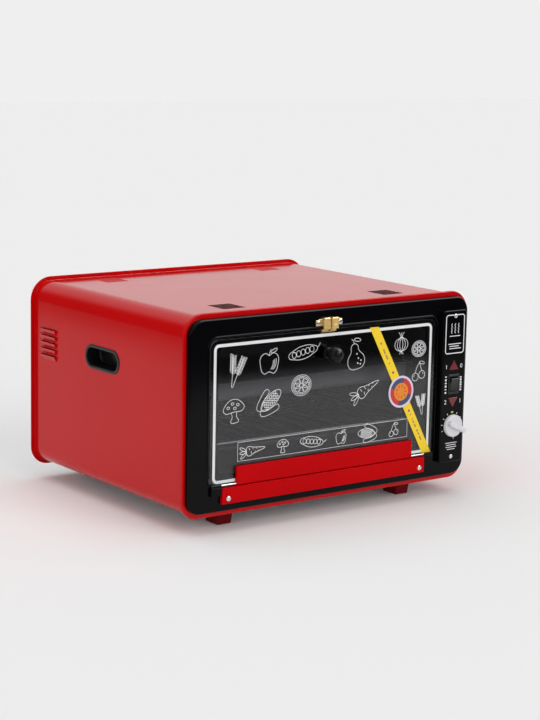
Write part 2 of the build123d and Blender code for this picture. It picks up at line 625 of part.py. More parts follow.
def thermostat_knob():
    """Pale dial: a disc with a raised grip bar that ends in a pointer."""
    seat = BOX_FACE - DIAL_GAP
    disc = slab_y(Circle(DIAL_RADIUS), seat - DIAL_DISC, seat)
    disc = fillet(disc.edges().group_by(Axis.Y)[0], 1.6)
    tail = DIAL_RADIUS - 1.5
    length = DIAL_POINTER + tail
    grip_outline = Pos((DIAL_POINTER - tail) / 2, 0) * SlotOverall(length, DIAL_GRIP_WIDTH)
    grip = slab_y(grip_outline, seat - DIAL_DISC - DIAL_GRIP_HEIGHT, seat - 1.0)
    grip = fillet(grip.edges().group_by(Axis.Y)[0], 1.8)
    knob = disc + grip
    knob -= slab_y(shaft_section(SHAFT_RADIUS), seat - 10, seat + 1)
    return Pos(BOX_X, 0, FOOT_HEIGHT + DIAL_Z) * Rot(0, -DIAL_ANGLE, 0) * knob


def thermostat_bulb():
    """Capillary tube from the thermostat into the chamber, ending in its sensing bulb."""
    z0 = FOOT_HEIGHT + DIAL_Z + 12
    z1 = CAVITY_ROOF - BULB_BELOW_ROOF
    x0, x1 = BOX_X + 10, CAVITY_RIGHT - BULB_FROM_WALL
    y0, y1 = PANEL_BACK + THERMOSTAT_DEPTH, BULB_Y
    points = [(x0, y0, z0), (x0, y1 - 55, z0), (x0, y1, z1), (x1, y1, z1), (x1, y1 + 20, z1)]
    line = tube(points, (14, 14, 9), CAPILLARY_RADIUS)
    return line + bar((x1, y1 + 20, z1), (x1, y1 + 20 + BULB_LENGTH, z1), BULB_RADIUS)


def bulb_clips():
    """Two clips that hold the sensing bulb to the chamber's right wall."""
    x, z = CAVITY_RIGHT - BULB_FROM_WALL, CAVITY_ROOF - BULB_BELOW_ROOF
    clips = []
    for y in (BULB_Y + 40, BULB_Y + BULB_LENGTH):
        ring = slab_y(Circle(BULB_RADIUS + 1), y - 3, y + 3, x, z)
        ring -= slab_y(Circle(BULB_RADIUS), y - 4, y + 4, x, z)
        clips.append(ring + box(x + 3.6, CAVITY_RIGHT, y - 3, y + 3, z - 1, z + 1))
    return clips


def oven_cavity():
    """Chamber of bent sheet, open at the mouth, with a flange behind the panel's recess."""
    y0, y1 = RECESS_BACK, CAVITY_END
    inner = RectangleRounded(CAVITY_WIDTH, CAVITY_HEIGHT, MOUTH_RADIUS)
    wall = 2 * CAVITY_WALL
    outer = RectangleRounded(CAVITY_WIDTH + wall, CAVITY_HEIGHT + wall, MOUTH_RADIUS + CAVITY_WALL)
    shell = slab_y(outer, y0, y1, DOOR_X, MOUTH_Z)
    flange = RectangleRounded(CAVITY_WIDTH + 24, CAVITY_HEIGHT + 24, MOUTH_RADIUS)
    shell += slab_y(flange, y0, y0 + CAVITY_WALL, DOOR_X, MOUTH_Z)
    shell -= slab_y(inner, y0 - 1, y1 - CAVITY_WALL, DOOR_X, MOUTH_Z)
    middle = (ELEMENT_FRONT_Y + ELEMENT_REAR_Y) / 2
    for z in (CAVITY_FLOOR + ELEMENT_FROM_WALL, CAVITY_ROOF - ELEMENT_FROM_WALL):
        x0 = CAVITY_LEFT
        y0, y1 = middle - HOOK_WIDTH / 2, middle + HOOK_WIDTH / 2
        shell += box(x0 - 0.5, x0 + ELEMENT_LEFT + 6, y0, y1, z - ELEMENT_RADIUS - 1.5, z - ELEMENT_RADIUS)
        for y in (ELEMENT_FRONT_Y, ELEMENT_REAR_Y):
            shell -= bar((CAVITY_RIGHT - 1, y, z), (CAVITY_RIGHT + 4, y, z), ELEMENT_RADIUS + 0.2)
    z = CAVITY_ROOF - BULB_BELOW_ROOF
    return shell - bar((CAVITY_RIGHT - 1, BULB_Y, z), (CAVITY_RIGHT + 4, BULB_Y, z), CAPILLARY_RADIUS + 0.5)


def cavity_support():
    """Bracket from the base plate up to the chamber's floor, near the back."""
    x0, x1 = DOOR_X - SUPPORT_HALF, DOOR_X + SUPPORT_HALF
    y0 = CAVITY_END - SUPPORT_SETBACK
    y1 = y0 + SUPPORT_FOOT
    z1 = CAVITY_FLOOR - CAVITY_WALL
    web = box(x0, x1, y0, y0 + SUPPORT_SHEET, BASE_TOP, z1)
    shelf = box(x0, x1, y0, y1, z1 - SUPPORT_SHEET, z1)
    return web + shelf + box(x0, x1, y0, y1, BASE_TOP, BASE_TOP + SUPPORT_SHEET)


def insulation_blanket():
    """Mineral blanket over the roof and down both sides of the chamber."""
    wall, thick = CAVITY_WALL, BLANKET
    inner = RectangleRounded(CAVITY_WIDTH + 2 * wall, CAVITY_HEIGHT + 2 * wall, MOUTH_RADIUS + wall)
    wide = CAVITY_WIDTH + 2 * wall + 2 * thick
    outer = RectangleRounded(wide, CAVITY_HEIGHT + 2 * wall + 2 * thick, MOUTH_RADIUS + wall + thick)
    wrap = slab_y(outer, BLANKET_FRONT_Y, CAVITY_END - BLANKET_SETBACK, DOOR_X, MOUTH_Z)
    wrap -= slab_y(inner, 0, CASE_DEPTH, DOOR_X, MOUTH_Z)
    wrap -= box(-CASE_WIDTH, CASE_WIDTH, 0, CASE_DEPTH, 0, CAVITY_FLOOR + MOUTH_RADIUS)
    for z in (CAVITY_FLOOR + ELEMENT_FROM_WALL, CAVITY_ROOF - ELEMENT_FROM_WALL):
        for y in (ELEMENT_FRONT_Y, ELEMENT_REAR_Y):
            wrap -= bar((CAVITY_RIGHT, y, z), (CAVITY_RIGHT + 40, y, z), ELEMENT_COLLAR + 2)
    z = CAVITY_ROOF - BULB_BELOW_ROOF
    return wrap - bar((CAVITY_RIGHT, BULB_Y, z), (CAVITY_RIGHT + 40, BULB_Y, z), CAPILLARY_RADIUS + 1.6)


def insulation_rear():
    """Mineral blanket behind the chamber."""
    y0 = CAVITY_END
    half_x, half_z = CAVITY_WIDTH / 2 - 5, CAVITY_HEIGHT / 2 - 5
    return box(DOOR_X - half_x, DOOR_X + half_x, y0, y0 + BLANKET, MOUTH_Z - half_z, MOUTH_Z + half_z)


def heating_element(z):
    """Tubular heater: a long U with collars on the chamber's right wall and bare tails."""
    x0, x1 = CAVITY_LEFT + ELEMENT_LEFT, CAVITY_RIGHT + ELEMENT_TAIL
    front, rear = ELEMENT_FRONT_Y, ELEMENT_REAR_Y
    points = [(x1, front, z), (x0, front, z), (x0, rear, z), (x1, rear, z)]
    heater = tube(points, (ELEMENT_BEND, ELEMENT_BEND), ELEMENT_RADIUS)
    for y in (front, rear):
        heater += bar((CAVITY_RIGHT - 2, y, z), (CAVITY_RIGHT, y, z), ELEMENT_COLLAR)
        out = CAVITY_RIGHT + CAVITY_WALL
        heater += bar((out, y, z), (out + 2, y, z), ELEMENT_COLLAR)
        heater += bar((x1, y, z), (x1 + 8, y, z), 1.2)
    return heater


def shelf_runner(side):
    """Wire side frame with a pair of rails for each shelf level; side is -1 or 1."""
    wall = DOOR_X + side * CAVITY_WIDTH / 2
    rail_x = wall - side * RAIL_FROM_WALL
    post_x = wall - side * (RAIL_FROM_WALL - 2 * RAIL_RADIUS + 0.3)
    y0, y1 = RAIL_FRONT_Y, RAIL_FRONT_Y + RAIL_LENGTH
    low = CAVITY_FLOOR + RAIL_LEVELS[0] - 8
    high = CAVITY_FLOOR + RAIL_LEVELS[-1] + RAIL_UPPER + 8
    frame = None
    for y in (y0 + POST_SETBACK, y1 - POST_SETBACK):
        post = bar((post_x, y, low), (post_x, y, high), RAIL_RADIUS - 0.2)
        frame = post if frame is None else frame + post
        for z in (low + 4, high - 4):
            frame += bar((post_x, y, z), (wall, y, z), 1.4)
    for level in RAIL_LEVELS:
        for rise in (0, RAIL_UPPER):
            z = CAVITY_FLOOR + level + rise
            frame += bar((rail_x, y0, z), (rail_x, y1, z), RAIL_RADIUS)
    return frame


def wire_rack():
    """Chromed wire shelf that rests on the lowest rails."""
    half = CAVITY_WIDTH / 2 - RAIL_FROM_WALL - RACK_SIDE_GAP
    z = CAVITY_FLOOR + RAIL_LEVELS[0] + RAIL_RADIUS + RACK_FRAME + SHELF_REST
    y0, y1 = RACK_FRONT_Y, RACK_FRONT_Y + RACK_LENGTH
    left, right = DOOR_X - half, DOOR_X + half
    rack = bar((left, y0, z), (left, y1, z), RACK_FRAME)
    rack += bar((right, y0, z), (right, y1, z), RACK_FRAME)
    for y in (y0, y1):
        rack += bar((left, y, z), (right, y, z), RACK_FRAME)
        rack += Pos(left, y, z) * Sphere(RACK_FRAME)
        rack += Pos(right, y, z) * Sphere(RACK_FRAME)
    rack += bar((left, (y0 + y1) / 2, z), (right, (y0 + y1) / 2, z), RACK_FRAME - 0.4)
    pitch = 2 * half / (RACK_WIRES + 1)
    for number in range(RACK_WIRES):
        x = left + (number + 1) * pitch
        rack += bar((x, y0, z + 1.2), (x, y1, z + 1.2), RACK_WIRE)
    return rack


def baking_tray():
    """Enamelled tray whose side lips rest on the highest rails."""
    lip = CAVITY_WIDTH / 2 - RAIL_FROM_WALL + 0.8
    half = lip - TRAY_SIDE - 0.7
    z1 = CAVITY_FLOOR + RAIL_LEVELS[-1] + RAIL_RADIUS + SHELF_REST + TRAY_WALL
    z0 = z1 - TRAY_DEPTH
    y0, y1 = RACK_FRONT_Y, RACK_FRONT_Y + RACK_LENGTH
    pan = box(DOOR_X - half, DOOR_X + half, y0 + 6, y1 - 6, z0, z1)
    pan = fillet(pan.edges().group_by(Axis.Z)[0] + pan.edges().filter_by(Axis.Z), 8)
    rim = box(DOOR_X - lip, DOOR_X + lip, y0, y1, z1 - TRAY_WALL, z1)
    rim = fillet(rim.edges().filter_by(Axis.Z), 5)
    wall = TRAY_WALL
    hollow = box(DOOR_X - half + wall, DOOR_X + half - wall, y0 + 6 + wall, y1 - 6 - wall, z0 + wall, z1 + 20)
    hollow = fillet(hollow.edges().group_by(Axis.Z)[0] + hollow.edges().filter_by(Axis.Z), 7)
    return pan + rim - hollow


def door_glass():
    """Toughened pane with a hole for the knob's screw."""
    pane = RectangleRounded(GLASS_WIDTH, GLASS_HEIGHT, GLASS_RADIUS)
    mid = (GLASS_BOTTOM + GLASS_TOP) / 2
    glass = slab_y(pane, GLASS_FRONT, GLASS_BACK, DOOR_X, mid)
    glass = chamfer(glass.edges().group_by(Axis.Y)[0], 0.5)
    return glass - slab_y(Circle(DOOR_KNOB_SCREW + 0.5), -40, 0, DOOR_X, DOOR_KNOB_CENTRE_Z)


def clamp_strip():
    """Red strip on the glass's foot: a shallow tray whose lower edge rolls round the rod."""
    x0, x1 = DOOR_X - STRIP_WIDTH / 2, DOOR_X + STRIP_WIDTH / 2
    high = FOOT_HEIGHT + STRIP_HIGH
    strip = box(x0, x1, STRIP_FACE, STRIP_FACE + SHEET, HINGE_Z, high)
    strip += box(x0, x1, STRIP_FACE, GLASS_FRONT, high - SHEET, high)
    for x in (x0, x1 - SHEET):
        strip += box(x, x + SHEET, STRIP_FACE, GLASS_FRONT, HINGE_Z + BARREL_RADIUS / 2, high)
    strip += bar((x0, HINGE_Y, HINGE_Z), (x1, HINGE_Y, HINGE_Z), BARREL_RADIUS)
    return strip - bar((x0 - 1, HINGE_Y, HINGE_Z), (x1 + 1, HINGE_Y, HINGE_Z), ROD_RADIUS + RUNNING_CLEARANCE)


def clamp_packing():
    """Silicone packing that bonds the strip to the glass."""
    half = STRIP_WIDTH / 2 - SHEET - PACKING_MARGIN
    z0 = HINGE_Z + BARREL_RADIUS + PACKING_MARGIN
    z1 = FOOT_HEIGHT + STRIP_HIGH - SHEET - PACKING_MARGIN
    return box(DOOR_X - half, DOOR_X + half, STRIP_FACE + SHEET, GLASS_FRONT, z0, z1)


def bracket_span(side):
    """A hinge bracket's two ends along X; side is -1 or 1."""
    near = DOOR_X + side * (APRON_WIDTH / 2 + 0.5)
    far = near + side * BRACKET_WIDTH
    return min(near, far), max(near, far)


def hinge_rod():
    """Steel rod fixed in both brackets."""
    x0, x1 = bracket_span(-1)[0] + 2, bracket_span(1)[1] - 2
    return bar((x0, HINGE_Y, HINGE_Z), (x1, HINGE_Y, HINGE_Z), ROD_RADIUS)


def hinge_bracket(side):
    """Black bracket on the panel with an eye for the rod's end."""
    x0, x1 = bracket_span(side)
    low = FOOT_HEIGHT + BRACKET_LOW
    body = box(x0, x1, PANEL_FACE - BRACKET_THICK, PANEL_FACE, low, GLASS_BOTTOM - 0.7)
    body = fillet(body.edges().filter_by(Axis.Y), 1.5)
    body += box(x0, x1, HINGE_Y - EYE_RADIUS, HINGE_Y + 1, HINGE_Z - 5, HINGE_Z)
    eye = bar((x0, HINGE_Y, HINGE_Z), (x1, HINGE_Y, HINGE_Z), EYE_RADIUS)
    rod = bar((x0 - 1, HINGE_Y, HINGE_Z), (x1 + 1, HINGE_Y, HINGE_Z), ROD_RADIUS)
    return body + eye - rod


def hinge_apron():
    """Red cover strip below the hinge: a shallow tray screwed to the panel through its face."""
    mid = FOOT_HEIGHT + (APRON_LOW + APRON_HIGH) / 2
    width, height = APRON_WIDTH, APRON_HIGH - APRON_LOW
    strip = slab_y(Rectangle(width, height), APRON_FACE, PANEL_FACE, DOOR_X, mid)
    strip = fillet(strip.edges().group_by(Axis.Y)[0], 0.6)
    inside = Rectangle(width - 2 * SHEET, height - 2 * SHEET)
    strip -= slab_y(inside, APRON_FACE + SHEET, PANEL_FACE + 1, DOOR_X, mid)
    for x in (-APRON_SCREW_X, APRON_SCREW_X):
        strip -= slab_y(Circle(LARGE_SHANK), -30, 0, DOOR_X + x, FOOT_HEIGHT + APRON_SCREW_Z)
    return strip


def apron_screws():
    """The two screws at the cover strip's ends."""
    screw = pan_screw(4.0, 2.2, LARGE_SHANK, APRON_PROUD + 3)
    z = FOOT_HEIGHT + APRON_SCREW_Z
    return [Pos(DOOR_X + x, APRON_FACE, z) * screw for x in (-APRON_SCREW_X, APRON_SCREW_X)]


def door_knob():
    """Round black pull: a ball cut off at the back, on a neck and a foot."""
    ball = Pos(0, DOOR_KNOB_RADIUS - DOOR_KNOB_REACH, 0) * Sphere(DOOR_KNOB_RADIUS)
    ball &= slab_y(Circle(2 * DOOR_KNOB_RADIUS), -DOOR_KNOB_REACH - 1, -DOOR_KNOB_NECK_LENGTH)
    body = ball + slab_y(Circle(DOOR_KNOB_NECK), -DOOR_KNOB_NECK_LENGTH - 1, -WASHER_THICK)
    body += slab_y(Circle(DOOR_KNOB_BASE), -WASHER_THICK - 1.8, -WASHER_THICK)
    body -= slab_y(Circle(DOOR_KNOB_SCREW), -12, 0)
    return Pos(DOOR_X, GLASS_FRONT, DOOR_KNOB_CENTRE_Z) * body


def knob_washer():
    """Soft washer between the knob and the glass."""
    ring = Circle(DOOR_KNOB_BASE - 1) - Circle(DOOR_KNOB_SCREW + 0.4)
    return slab_y(ring, GLASS_FRONT - WASHER_THICK, GLASS_FRONT, DOOR_X, DOOR_KNOB_CENTRE_Z)


def knob_screw():
    """Screw from the glass's inner side into the knob."""
    screw = Rot(180, 0, 0) * pan_screw(5.0, 2.4, DOOR_KNOB_SCREW, GLASS_THICK + 12)
    return Pos(DOOR_X, GLASS_BACK, DOOR_KNOB_CENTRE_Z) * screw


def catch_body():
    """Brass double catch: a plate with two hollow jaws and a slot for the door's tongue."""
    low = GLASS_TOP + 1.4
    high = FOOT_HEIGHT + CATCH_HIGH
    screw_z = FOOT_HEIGHT + CATCH_SCREW_Z
    ridge_top = GLASS_TOP + RECESS_GAP + RIDGE_WIDTH + 0.2
    plate_y = PANEL_FACE - CATCH_PLATE
    catch = box(DOOR_X - CATCH_SCREW_X, DOOR_X + CATCH_SCREW_X, plate_y, PANEL_FACE, ridge_top, high - 2)
    for x in (-CATCH_SCREW_X, CATCH_SCREW_X):
        catch += slab_y(Rectangle(9, 2 * (screw_z - ridge_top)), plate_y, PANEL_FACE, DOOR_X + x, screw_z)
    gap = CATCH_SLOT / 2
    spans = ((-CATCH_HALF, -gap, CATCH_LEFT_PROUD), (gap, CATCH_HALF, CATCH_RIGHT_PROUD))
    for x0, x1, proud in spans:
        front = PANEL_FACE - proud
        back = PANEL_FACE - RIDGE_HEIGHT - 0.2
        jaw = box(DOOR_X + x0, DOOR_X + x1, front, back, low, high)
        jaw = fillet(jaw.edges().filter_by(Axis.Z).group_by(Axis.Y)[0], 1.5)
        jaw -= box(DOOR_X + x0 + 1, DOOR_X + x1 - 1, front + 1, back + 1, low - 1, high - 1)
        jaw += box(DOOR_X + x0, DOOR_X + x1, back - 1, PANEL_FACE, ridge_top, high)
        catch += jaw
    for x in (-CATCH_SCREW_X, CATCH_SCREW_X):
        catch -= slab_y(Circle(SMALL_SHANK), -30, 0, DOOR_X + x, screw_z)
    return catch - box(DOOR_X - CATCH_SLOT / 2, DOOR_X + CATCH_SLOT / 2, -30, plate_y, 0, high + 9)


def catch_screws():
    """The two bright screws at the catch's ends."""
    screw = pan_screw(4.2, 2.2, SMALL_SHANK, 7)
    y, z = PANEL_FACE - CATCH_PLATE, FOOT_HEIGHT + CATCH_SCREW_Z
    return [Pos(DOOR_X + x, y, z) * screw for x in (-CATCH_SCREW_X, CATCH_SCREW_X)]


def strike_clip():
    """Brass clip over the glass's top edge, with a tongue between the catch's jaws."""
    x0, x1 = DOOR_X - CATCH_HALF, DOOR_X + CATCH_HALF
    low = GLASS_TOP - STRIKE_LAP
    top = GLASS_TOP + 0.9
    clip = box(x0, x1, GLASS_FRONT - 1, GLASS_FRONT, low, top)
    clip += box(x0, x1, GLASS_FRONT - 1, GLASS_BACK + 0.6, GLASS_TOP, top)
    clip += box(x0, x1, GLASS_BACK, GLASS_BACK + 0.6, GLASS_TOP - 8, top)
    half = TONGUE / 2
    tongue_back = PANEL_FACE - RIDGE_HEIGHT - 0.4
    clip += box(DOOR_X - half, DOOR_X + half, GLASS_FRONT - 5, GLASS_FRONT, low, top)
    tongue = box(DOOR_X - half, DOOR_X + half, GLASS_FRONT - 5, tongue_back, low, top + TONGUE_HEIGHT)
    return clip + fillet(tongue.edges().filter_by(Axis.X).group_by(Axis.Z)[-1], 1.3)


def carry_cup(side):
    """Black grip cup in a side wall, open outwards; side is -1 or 1."""
    skin = SKIN_WIDTH / 2
    z = SKIN_TOP - CUP_BELOW_TOP
    rim = slab_x(SlotOverall(CUP_LENGTH, CUP_HEIGHT), skin, skin + CUP_WALL)
    rim = fillet(rim.edges().group_by(Axis.X)[-1], 0.9)
    hole = 2 * (CUP_RIM + 0.2)
    cup = rim + slab_x(SlotOverall(CUP_LENGTH - hole, CUP_HEIGHT - hole), skin - CUP_DEPTH, skin)
    inside = hole + 2 * CUP_WALL
    pocket = SlotOverall(CUP_LENGTH - inside, CUP_HEIGHT - inside)
    cup -= slab_x(pocket, skin - CUP_DEPTH + CUP_WALL, skin + 9)
    cup = Pos(0, CUP_Y, z) * cup
    return cup if side > 0 else mirror(cup, Plane.YZ)


def terminal_block():
    """Porcelain terminal block on the base plate behind the controls."""
    y0, z1 = TERMINAL_FRONT, BASE_TOP + TERMINAL_HEIGHT
    y1 = y0 + TERMINAL_LENGTH
    block = box(GLAND_X - 18, GLAND_X + 14, y0, y1, BASE_TOP, z1)
    for x in (-12, -2, 8):
        block -= Pos(GLAND_X + x, (y0 + y1) / 2, z1) * Cylinder(2.6, TERMINAL_HEIGHT / 2)
    return block


def cable_gland():
    """Cord inlet: a flanged sleeve through the rear cover with its nut inside."""
    z = FOOT_HEIGHT + GLAND_Z
    outside = REAR_FACE + SHEET
    gland = slab_y(Circle(GLAND_RADIUS), outside, outside + 4, GLAND_X, z)
    gland += slab_y(Circle(GLAND_NECK), REAR_FACE - 10, GLAND_END, GLAND_X, z)
    gland = fillet(gland.edges().group_by(Axis.Y)[-1], 1.2)
    nut = slab_y(RegularPolygon(GLAND_RADIUS, 6), REAR_FACE - 7, REAR_FACE, GLAND_X, z)
    return gland + nut - slab_y(Circle(GLAND_BORE), REAR_FACE - 20, GLAND_END + 5, GLAND_X, z)


def wiring_harness():
    """Leads from the terminal block to the switch, the thermostat and a heater."""
    z0 = BASE_TOP + TERMINAL_HEIGHT / 2
    block_y = TERMINAL_FRONT
    switch_y = BOX_FACE + SWITCH_LENGTH + 7
    switch_z = FOOT_HEIGHT + SWITCH_Z
    thermostat_y = PANEL_BACK + THERMOSTAT_DEPTH
    low_z = FOOT_HEIGHT + DIAL_Z - 12
    tail_x = CAVITY_RIGHT + ELEMENT_TAIL + 8
    heater_z = CAVITY_FLOOR + ELEMENT_FROM_WALL
    x = GLAND_X
    to_switch = [(x + 8, block_y, z0), (x + 8, 90, z0), (BOX_X, 62, switch_z), (BOX_X, switch_y, switch_z)]
    to_dial = [(x - 2, block_y, z0), (x - 2, 70, z0), (x + 18, 52, low_z), (x + 18, thermostat_y, low_z)]
    to_heater = [(x - 12, block_y, z0), (x - 12, block_y - 40, z0), (tail_x, ELEMENT_REAR_Y, heater_z - 20)]
    to_heater.append((tail_x, ELEMENT_REAR_Y, heater_z - 1.2))
    routes = ((to_switch, (20, 16)), (to_dial, (18, 10)), (to_heater, (14, 8)))
    return [tube(points, radii, WIRE_RADIUS) for points, radii in routes]


def control_box_screws():
    """Screws that hold the control box to the panel."""
    screw = pan_screw(3.4, 1.8, SMALL_SHANK, BOX_PROUD + 4)
    heights = (BOX_BOTTOM + BOX_SCREW_INSET, BOX_TOP - BOX_SCREW_INSET)
    return [Pos(BOX_X, BOX_FACE, z) * screw for z in heights]


def thermostat_screws():
    """Screws that hold the thermostat behind the panel."""
    screw = pan_screw(3.2, 1.8, SMALL_SHANK, PANEL_SHEET + 5)
    z = FOOT_HEIGHT + DIAL_Z
    return [Pos(BOX_X + x, PANEL_FACE, z) * screw for x in (-THERMOSTAT_SCREW_X, THERMOSTAT_SCREW_X)]


def rear_cover_screws():
    """Screws round the rear cover, heads outwards."""
    screw = Rot(180, 0, 0) * pan_screw(3.6, 2.0, SMALL_SHANK, 8)
    y = REAR_FACE + SHEET
    return [Pos(x, y, CASE_MID_Z + z) * screw for x, z in rear_screw_places()]


def band_point(point):
    """A point on the pane, from the middle of its lower edge, as (X, Z)."""
    return DOOR_X + point[0], GLASS_BOTTOM + point[1]


def paper_band():
    """Slanting paper band stuck to the glass, with a hole where the disc lies."""
    x0, z0 = band_point(BAND_TOP)
    x1, z1 = band_point(BAND_BOTTOM)
    a, b = Vector(x0, z0), Vector(x1, z1)
    along = (b - a).normalized()
    across = Vector(-along.Y, along.X) * (BAND_WIDTH / 2)
    corners = [a + across, a - across, b - across, b + across]
    outline = make_face(Polyline(*[(corner.X, corner.Y) for corner in corners], close=True))
    band = slab_y(outline, GLASS_FRONT - BAND_THICK, GLASS_FRONT)
    pane = box(-CASE_WIDTH, CASE_WIDTH, -30, 0, GLASS_BOTTOM + 1, GLASS_TOP - STRIKE_LAP - 1)
    middle = (a + b) * 0.5
    return band & pane - slab_y(Circle(DISC_RADIUS), -30, 0, middle.X, middle.Y)


def band_disc():
    """Round paper disc at the band's middle."""
    x0, z0 = band_point(BAND_TOP)
    x1, z1 = band_point(BAND_BOTTOM)
    return slab_y(Circle(DISC_RADIUS), GLASS_FRONT - BAND_THICK, GLASS_FRONT, (x0 + x1) / 2, (z0 + z1) / 2)


def group(solids):
    """Like pieces written to one file as separate solids."""
    return Compound(children=[solid if isinstance(solid, Solid) else solid.solid() for solid in solids])


os.makedirs("parts", exist_ok=True)
save("outer_casing", outer_casing())
save("rear_cover", rear_cover())
save("rear_cover_screws", group(rear_cover_screws()))
save("base_plate", base_plate())
for corner, (foot_x, foot_y) in foot_places().items():
    save(f"foot_{corner}", foot(foot_x, foot_y))
save("foot_screws", group(foot_screws()))
save("carry_cup_left", carry_cup(-1))
save("carry_cup_right", carry_cup(1))
save("front_panel", front_panel())
save("control_box", control_box())
save("control_box_screws", group(control_box_screws()))
save("lamp_lens_upper", lamp_lens(LAMP_UPPER_BASE, True))
save("lamp_lens_lower", lamp_lens(LAMP_LOWER_BASE, False))
lamp_holders, neon_bulbs = lamp_parts()
save("lamp_holders", group(lamp_holders))
save("neon_bulbs", group(neon_bulbs))
save("rocker_switch_body", rocker_switch_body())
save("rocker_button", rocker_button())
save("thermostat_body", thermostat_body())
save("thermostat_screws", group(thermostat_screws()))
save("thermostat_shaft", thermostat_shaft())
save("thermostat_knob", thermostat_knob())
save("thermostat_bulb", thermostat_bulb())
save("bulb_clips", group(bulb_clips()))
save("oven_cavity", oven_cavity())
save("cavity_support", cavity_support())
save("insulation_blanket", insulation_blanket())
save("insulation_rear", insulation_rear())
save("lower_heating_element", heating_element(CAVITY_FLOOR + ELEMENT_FROM_WALL))
save("upper_heating_element", heating_element(CAVITY_ROOF - ELEMENT_FROM_WALL))
save("shelf_runner_left", shelf_runner(-1))
save("shelf_runner_right", shelf_runner(1))
save("wire_rack", wire_rack())
save("baking_tray", baking_tray())
save("door_glass", door_glass())
save("clamp_strip", clamp_strip())
save("clamp_packing", clamp_packing())
save("hinge_rod", hinge_rod())
save("hinge_bracket_left", hinge_bracket(-1))
save("hinge_bracket_right", hinge_bracket(1))
save("hinge_apron", hinge_apron())
save("apron_screws", group(apron_screws()))
save("door_knob", door_knob())
save("knob_washer", knob_washer())
save("knob_screw", knob_screw())
save("catch_body", catch_body())
save("catch_screws", group(catch_screws()))
save("strike_clip", strike_clip())
save("terminal_block", terminal_block())
save("cable_gland", cable_gland())
save("wiring_harness", group(wiring_harness()))
save("paper_band", paper_band())
save("band_disc", band_disc())
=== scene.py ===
"""Mini oven: the look of every piece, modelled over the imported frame.

Sizes are in millimetres, as on a drawing: X to the right, Y to the back from the casing's front
plane, Z up from the floor. Pieces are modelled there and moved into the shared frame when settled.
"""

import logging
import math
from dataclasses import dataclass, replace
from enum import Enum
from functools import cache, reduce
from typing import Callable, Iterable, Sequence

import bmesh
import bpy
from mathutils import Matrix, Vector

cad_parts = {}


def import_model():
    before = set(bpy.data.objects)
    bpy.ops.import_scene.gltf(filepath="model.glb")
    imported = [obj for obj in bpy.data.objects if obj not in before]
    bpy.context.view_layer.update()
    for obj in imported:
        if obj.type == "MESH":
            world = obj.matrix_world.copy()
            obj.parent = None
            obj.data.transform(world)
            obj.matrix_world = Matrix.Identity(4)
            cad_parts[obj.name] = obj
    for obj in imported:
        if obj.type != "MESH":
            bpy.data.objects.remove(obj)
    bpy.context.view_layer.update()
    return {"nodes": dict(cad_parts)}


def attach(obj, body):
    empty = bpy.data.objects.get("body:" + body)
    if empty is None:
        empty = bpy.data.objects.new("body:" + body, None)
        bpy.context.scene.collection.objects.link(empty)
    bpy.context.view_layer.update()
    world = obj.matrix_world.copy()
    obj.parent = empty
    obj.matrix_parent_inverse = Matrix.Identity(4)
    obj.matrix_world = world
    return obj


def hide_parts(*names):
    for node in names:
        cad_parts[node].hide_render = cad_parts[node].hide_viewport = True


Piece = bpy.types.Object
Socket = bpy.types.NodeSocket
Group = bpy.types.ShaderNodeTree
Pair = tuple[float, float]
Triple = tuple[float, float, float]
Colour = Triple
Profile = Iterable[Pair]
Stroke = tuple[bool, list[Pair]]
Value = Socket | float | tuple[float, ...]

LOG = logging.getLogger("mini_oven")
MM = 0.001

# How far apart a loft's outlines stand until it is closed.
STEP = 20.0
# The hair by which a face is kept clear of another, so that they never share a plane.
SINK = 0.02
COAT_ROUGHNESS = 0.08

# Where the drawing's front plane lies in the frame, along Y.
FRONT_PLANE = -200.75
# The side walls' outer faces, and the carry cups' middle in them, along Y and Z.
WALL_X = 266.0
CUP_SPOT = (222.5, 226.5)
# The face that the panel and the pane share, and where parts that lie on it end.
PANEL_FACE = -8.5
SEAT = PANEL_FACE - SINK
# The hinge rod's axis, along Y and Z.
ROD = (-11.05, 71.7)
# The control box's middle, across, and its face.
CONTROL_X = 227.8
CONTROL_FACE = -19.8
# The paper band's middle, across and in height, and how many degrees it leans.
BAND_CENTRE = (130.25, 175.75)
BAND_LEAN = 28.56


class Body(Enum):
    """The bodies of the frame that pieces ride on."""

    OVEN = "oven"
    DOOR = "door"
    RACK = "rack"
    TRAY = "tray"
    DIAL = "dial"
    ROCKER = "rocker"


class Ends(Enum):
    """What a lofted shell does at its first and last outline."""

    CAPPED = "capped"
    JOINED = "joined"


def at(x: float, y: float, z: float) -> Vector:
    """A drawing's point in metres."""
    return Vector((x * MM, y * MM, z * MM))


def only(piece: Piece) -> None:
    """Leaves one piece selected and active.

    Args:
        piece: the piece.
    """
    bpy.ops.object.select_all(action="DESELECT")
    piece.select_set(True)
    bpy.context.view_layer.objects.active = piece


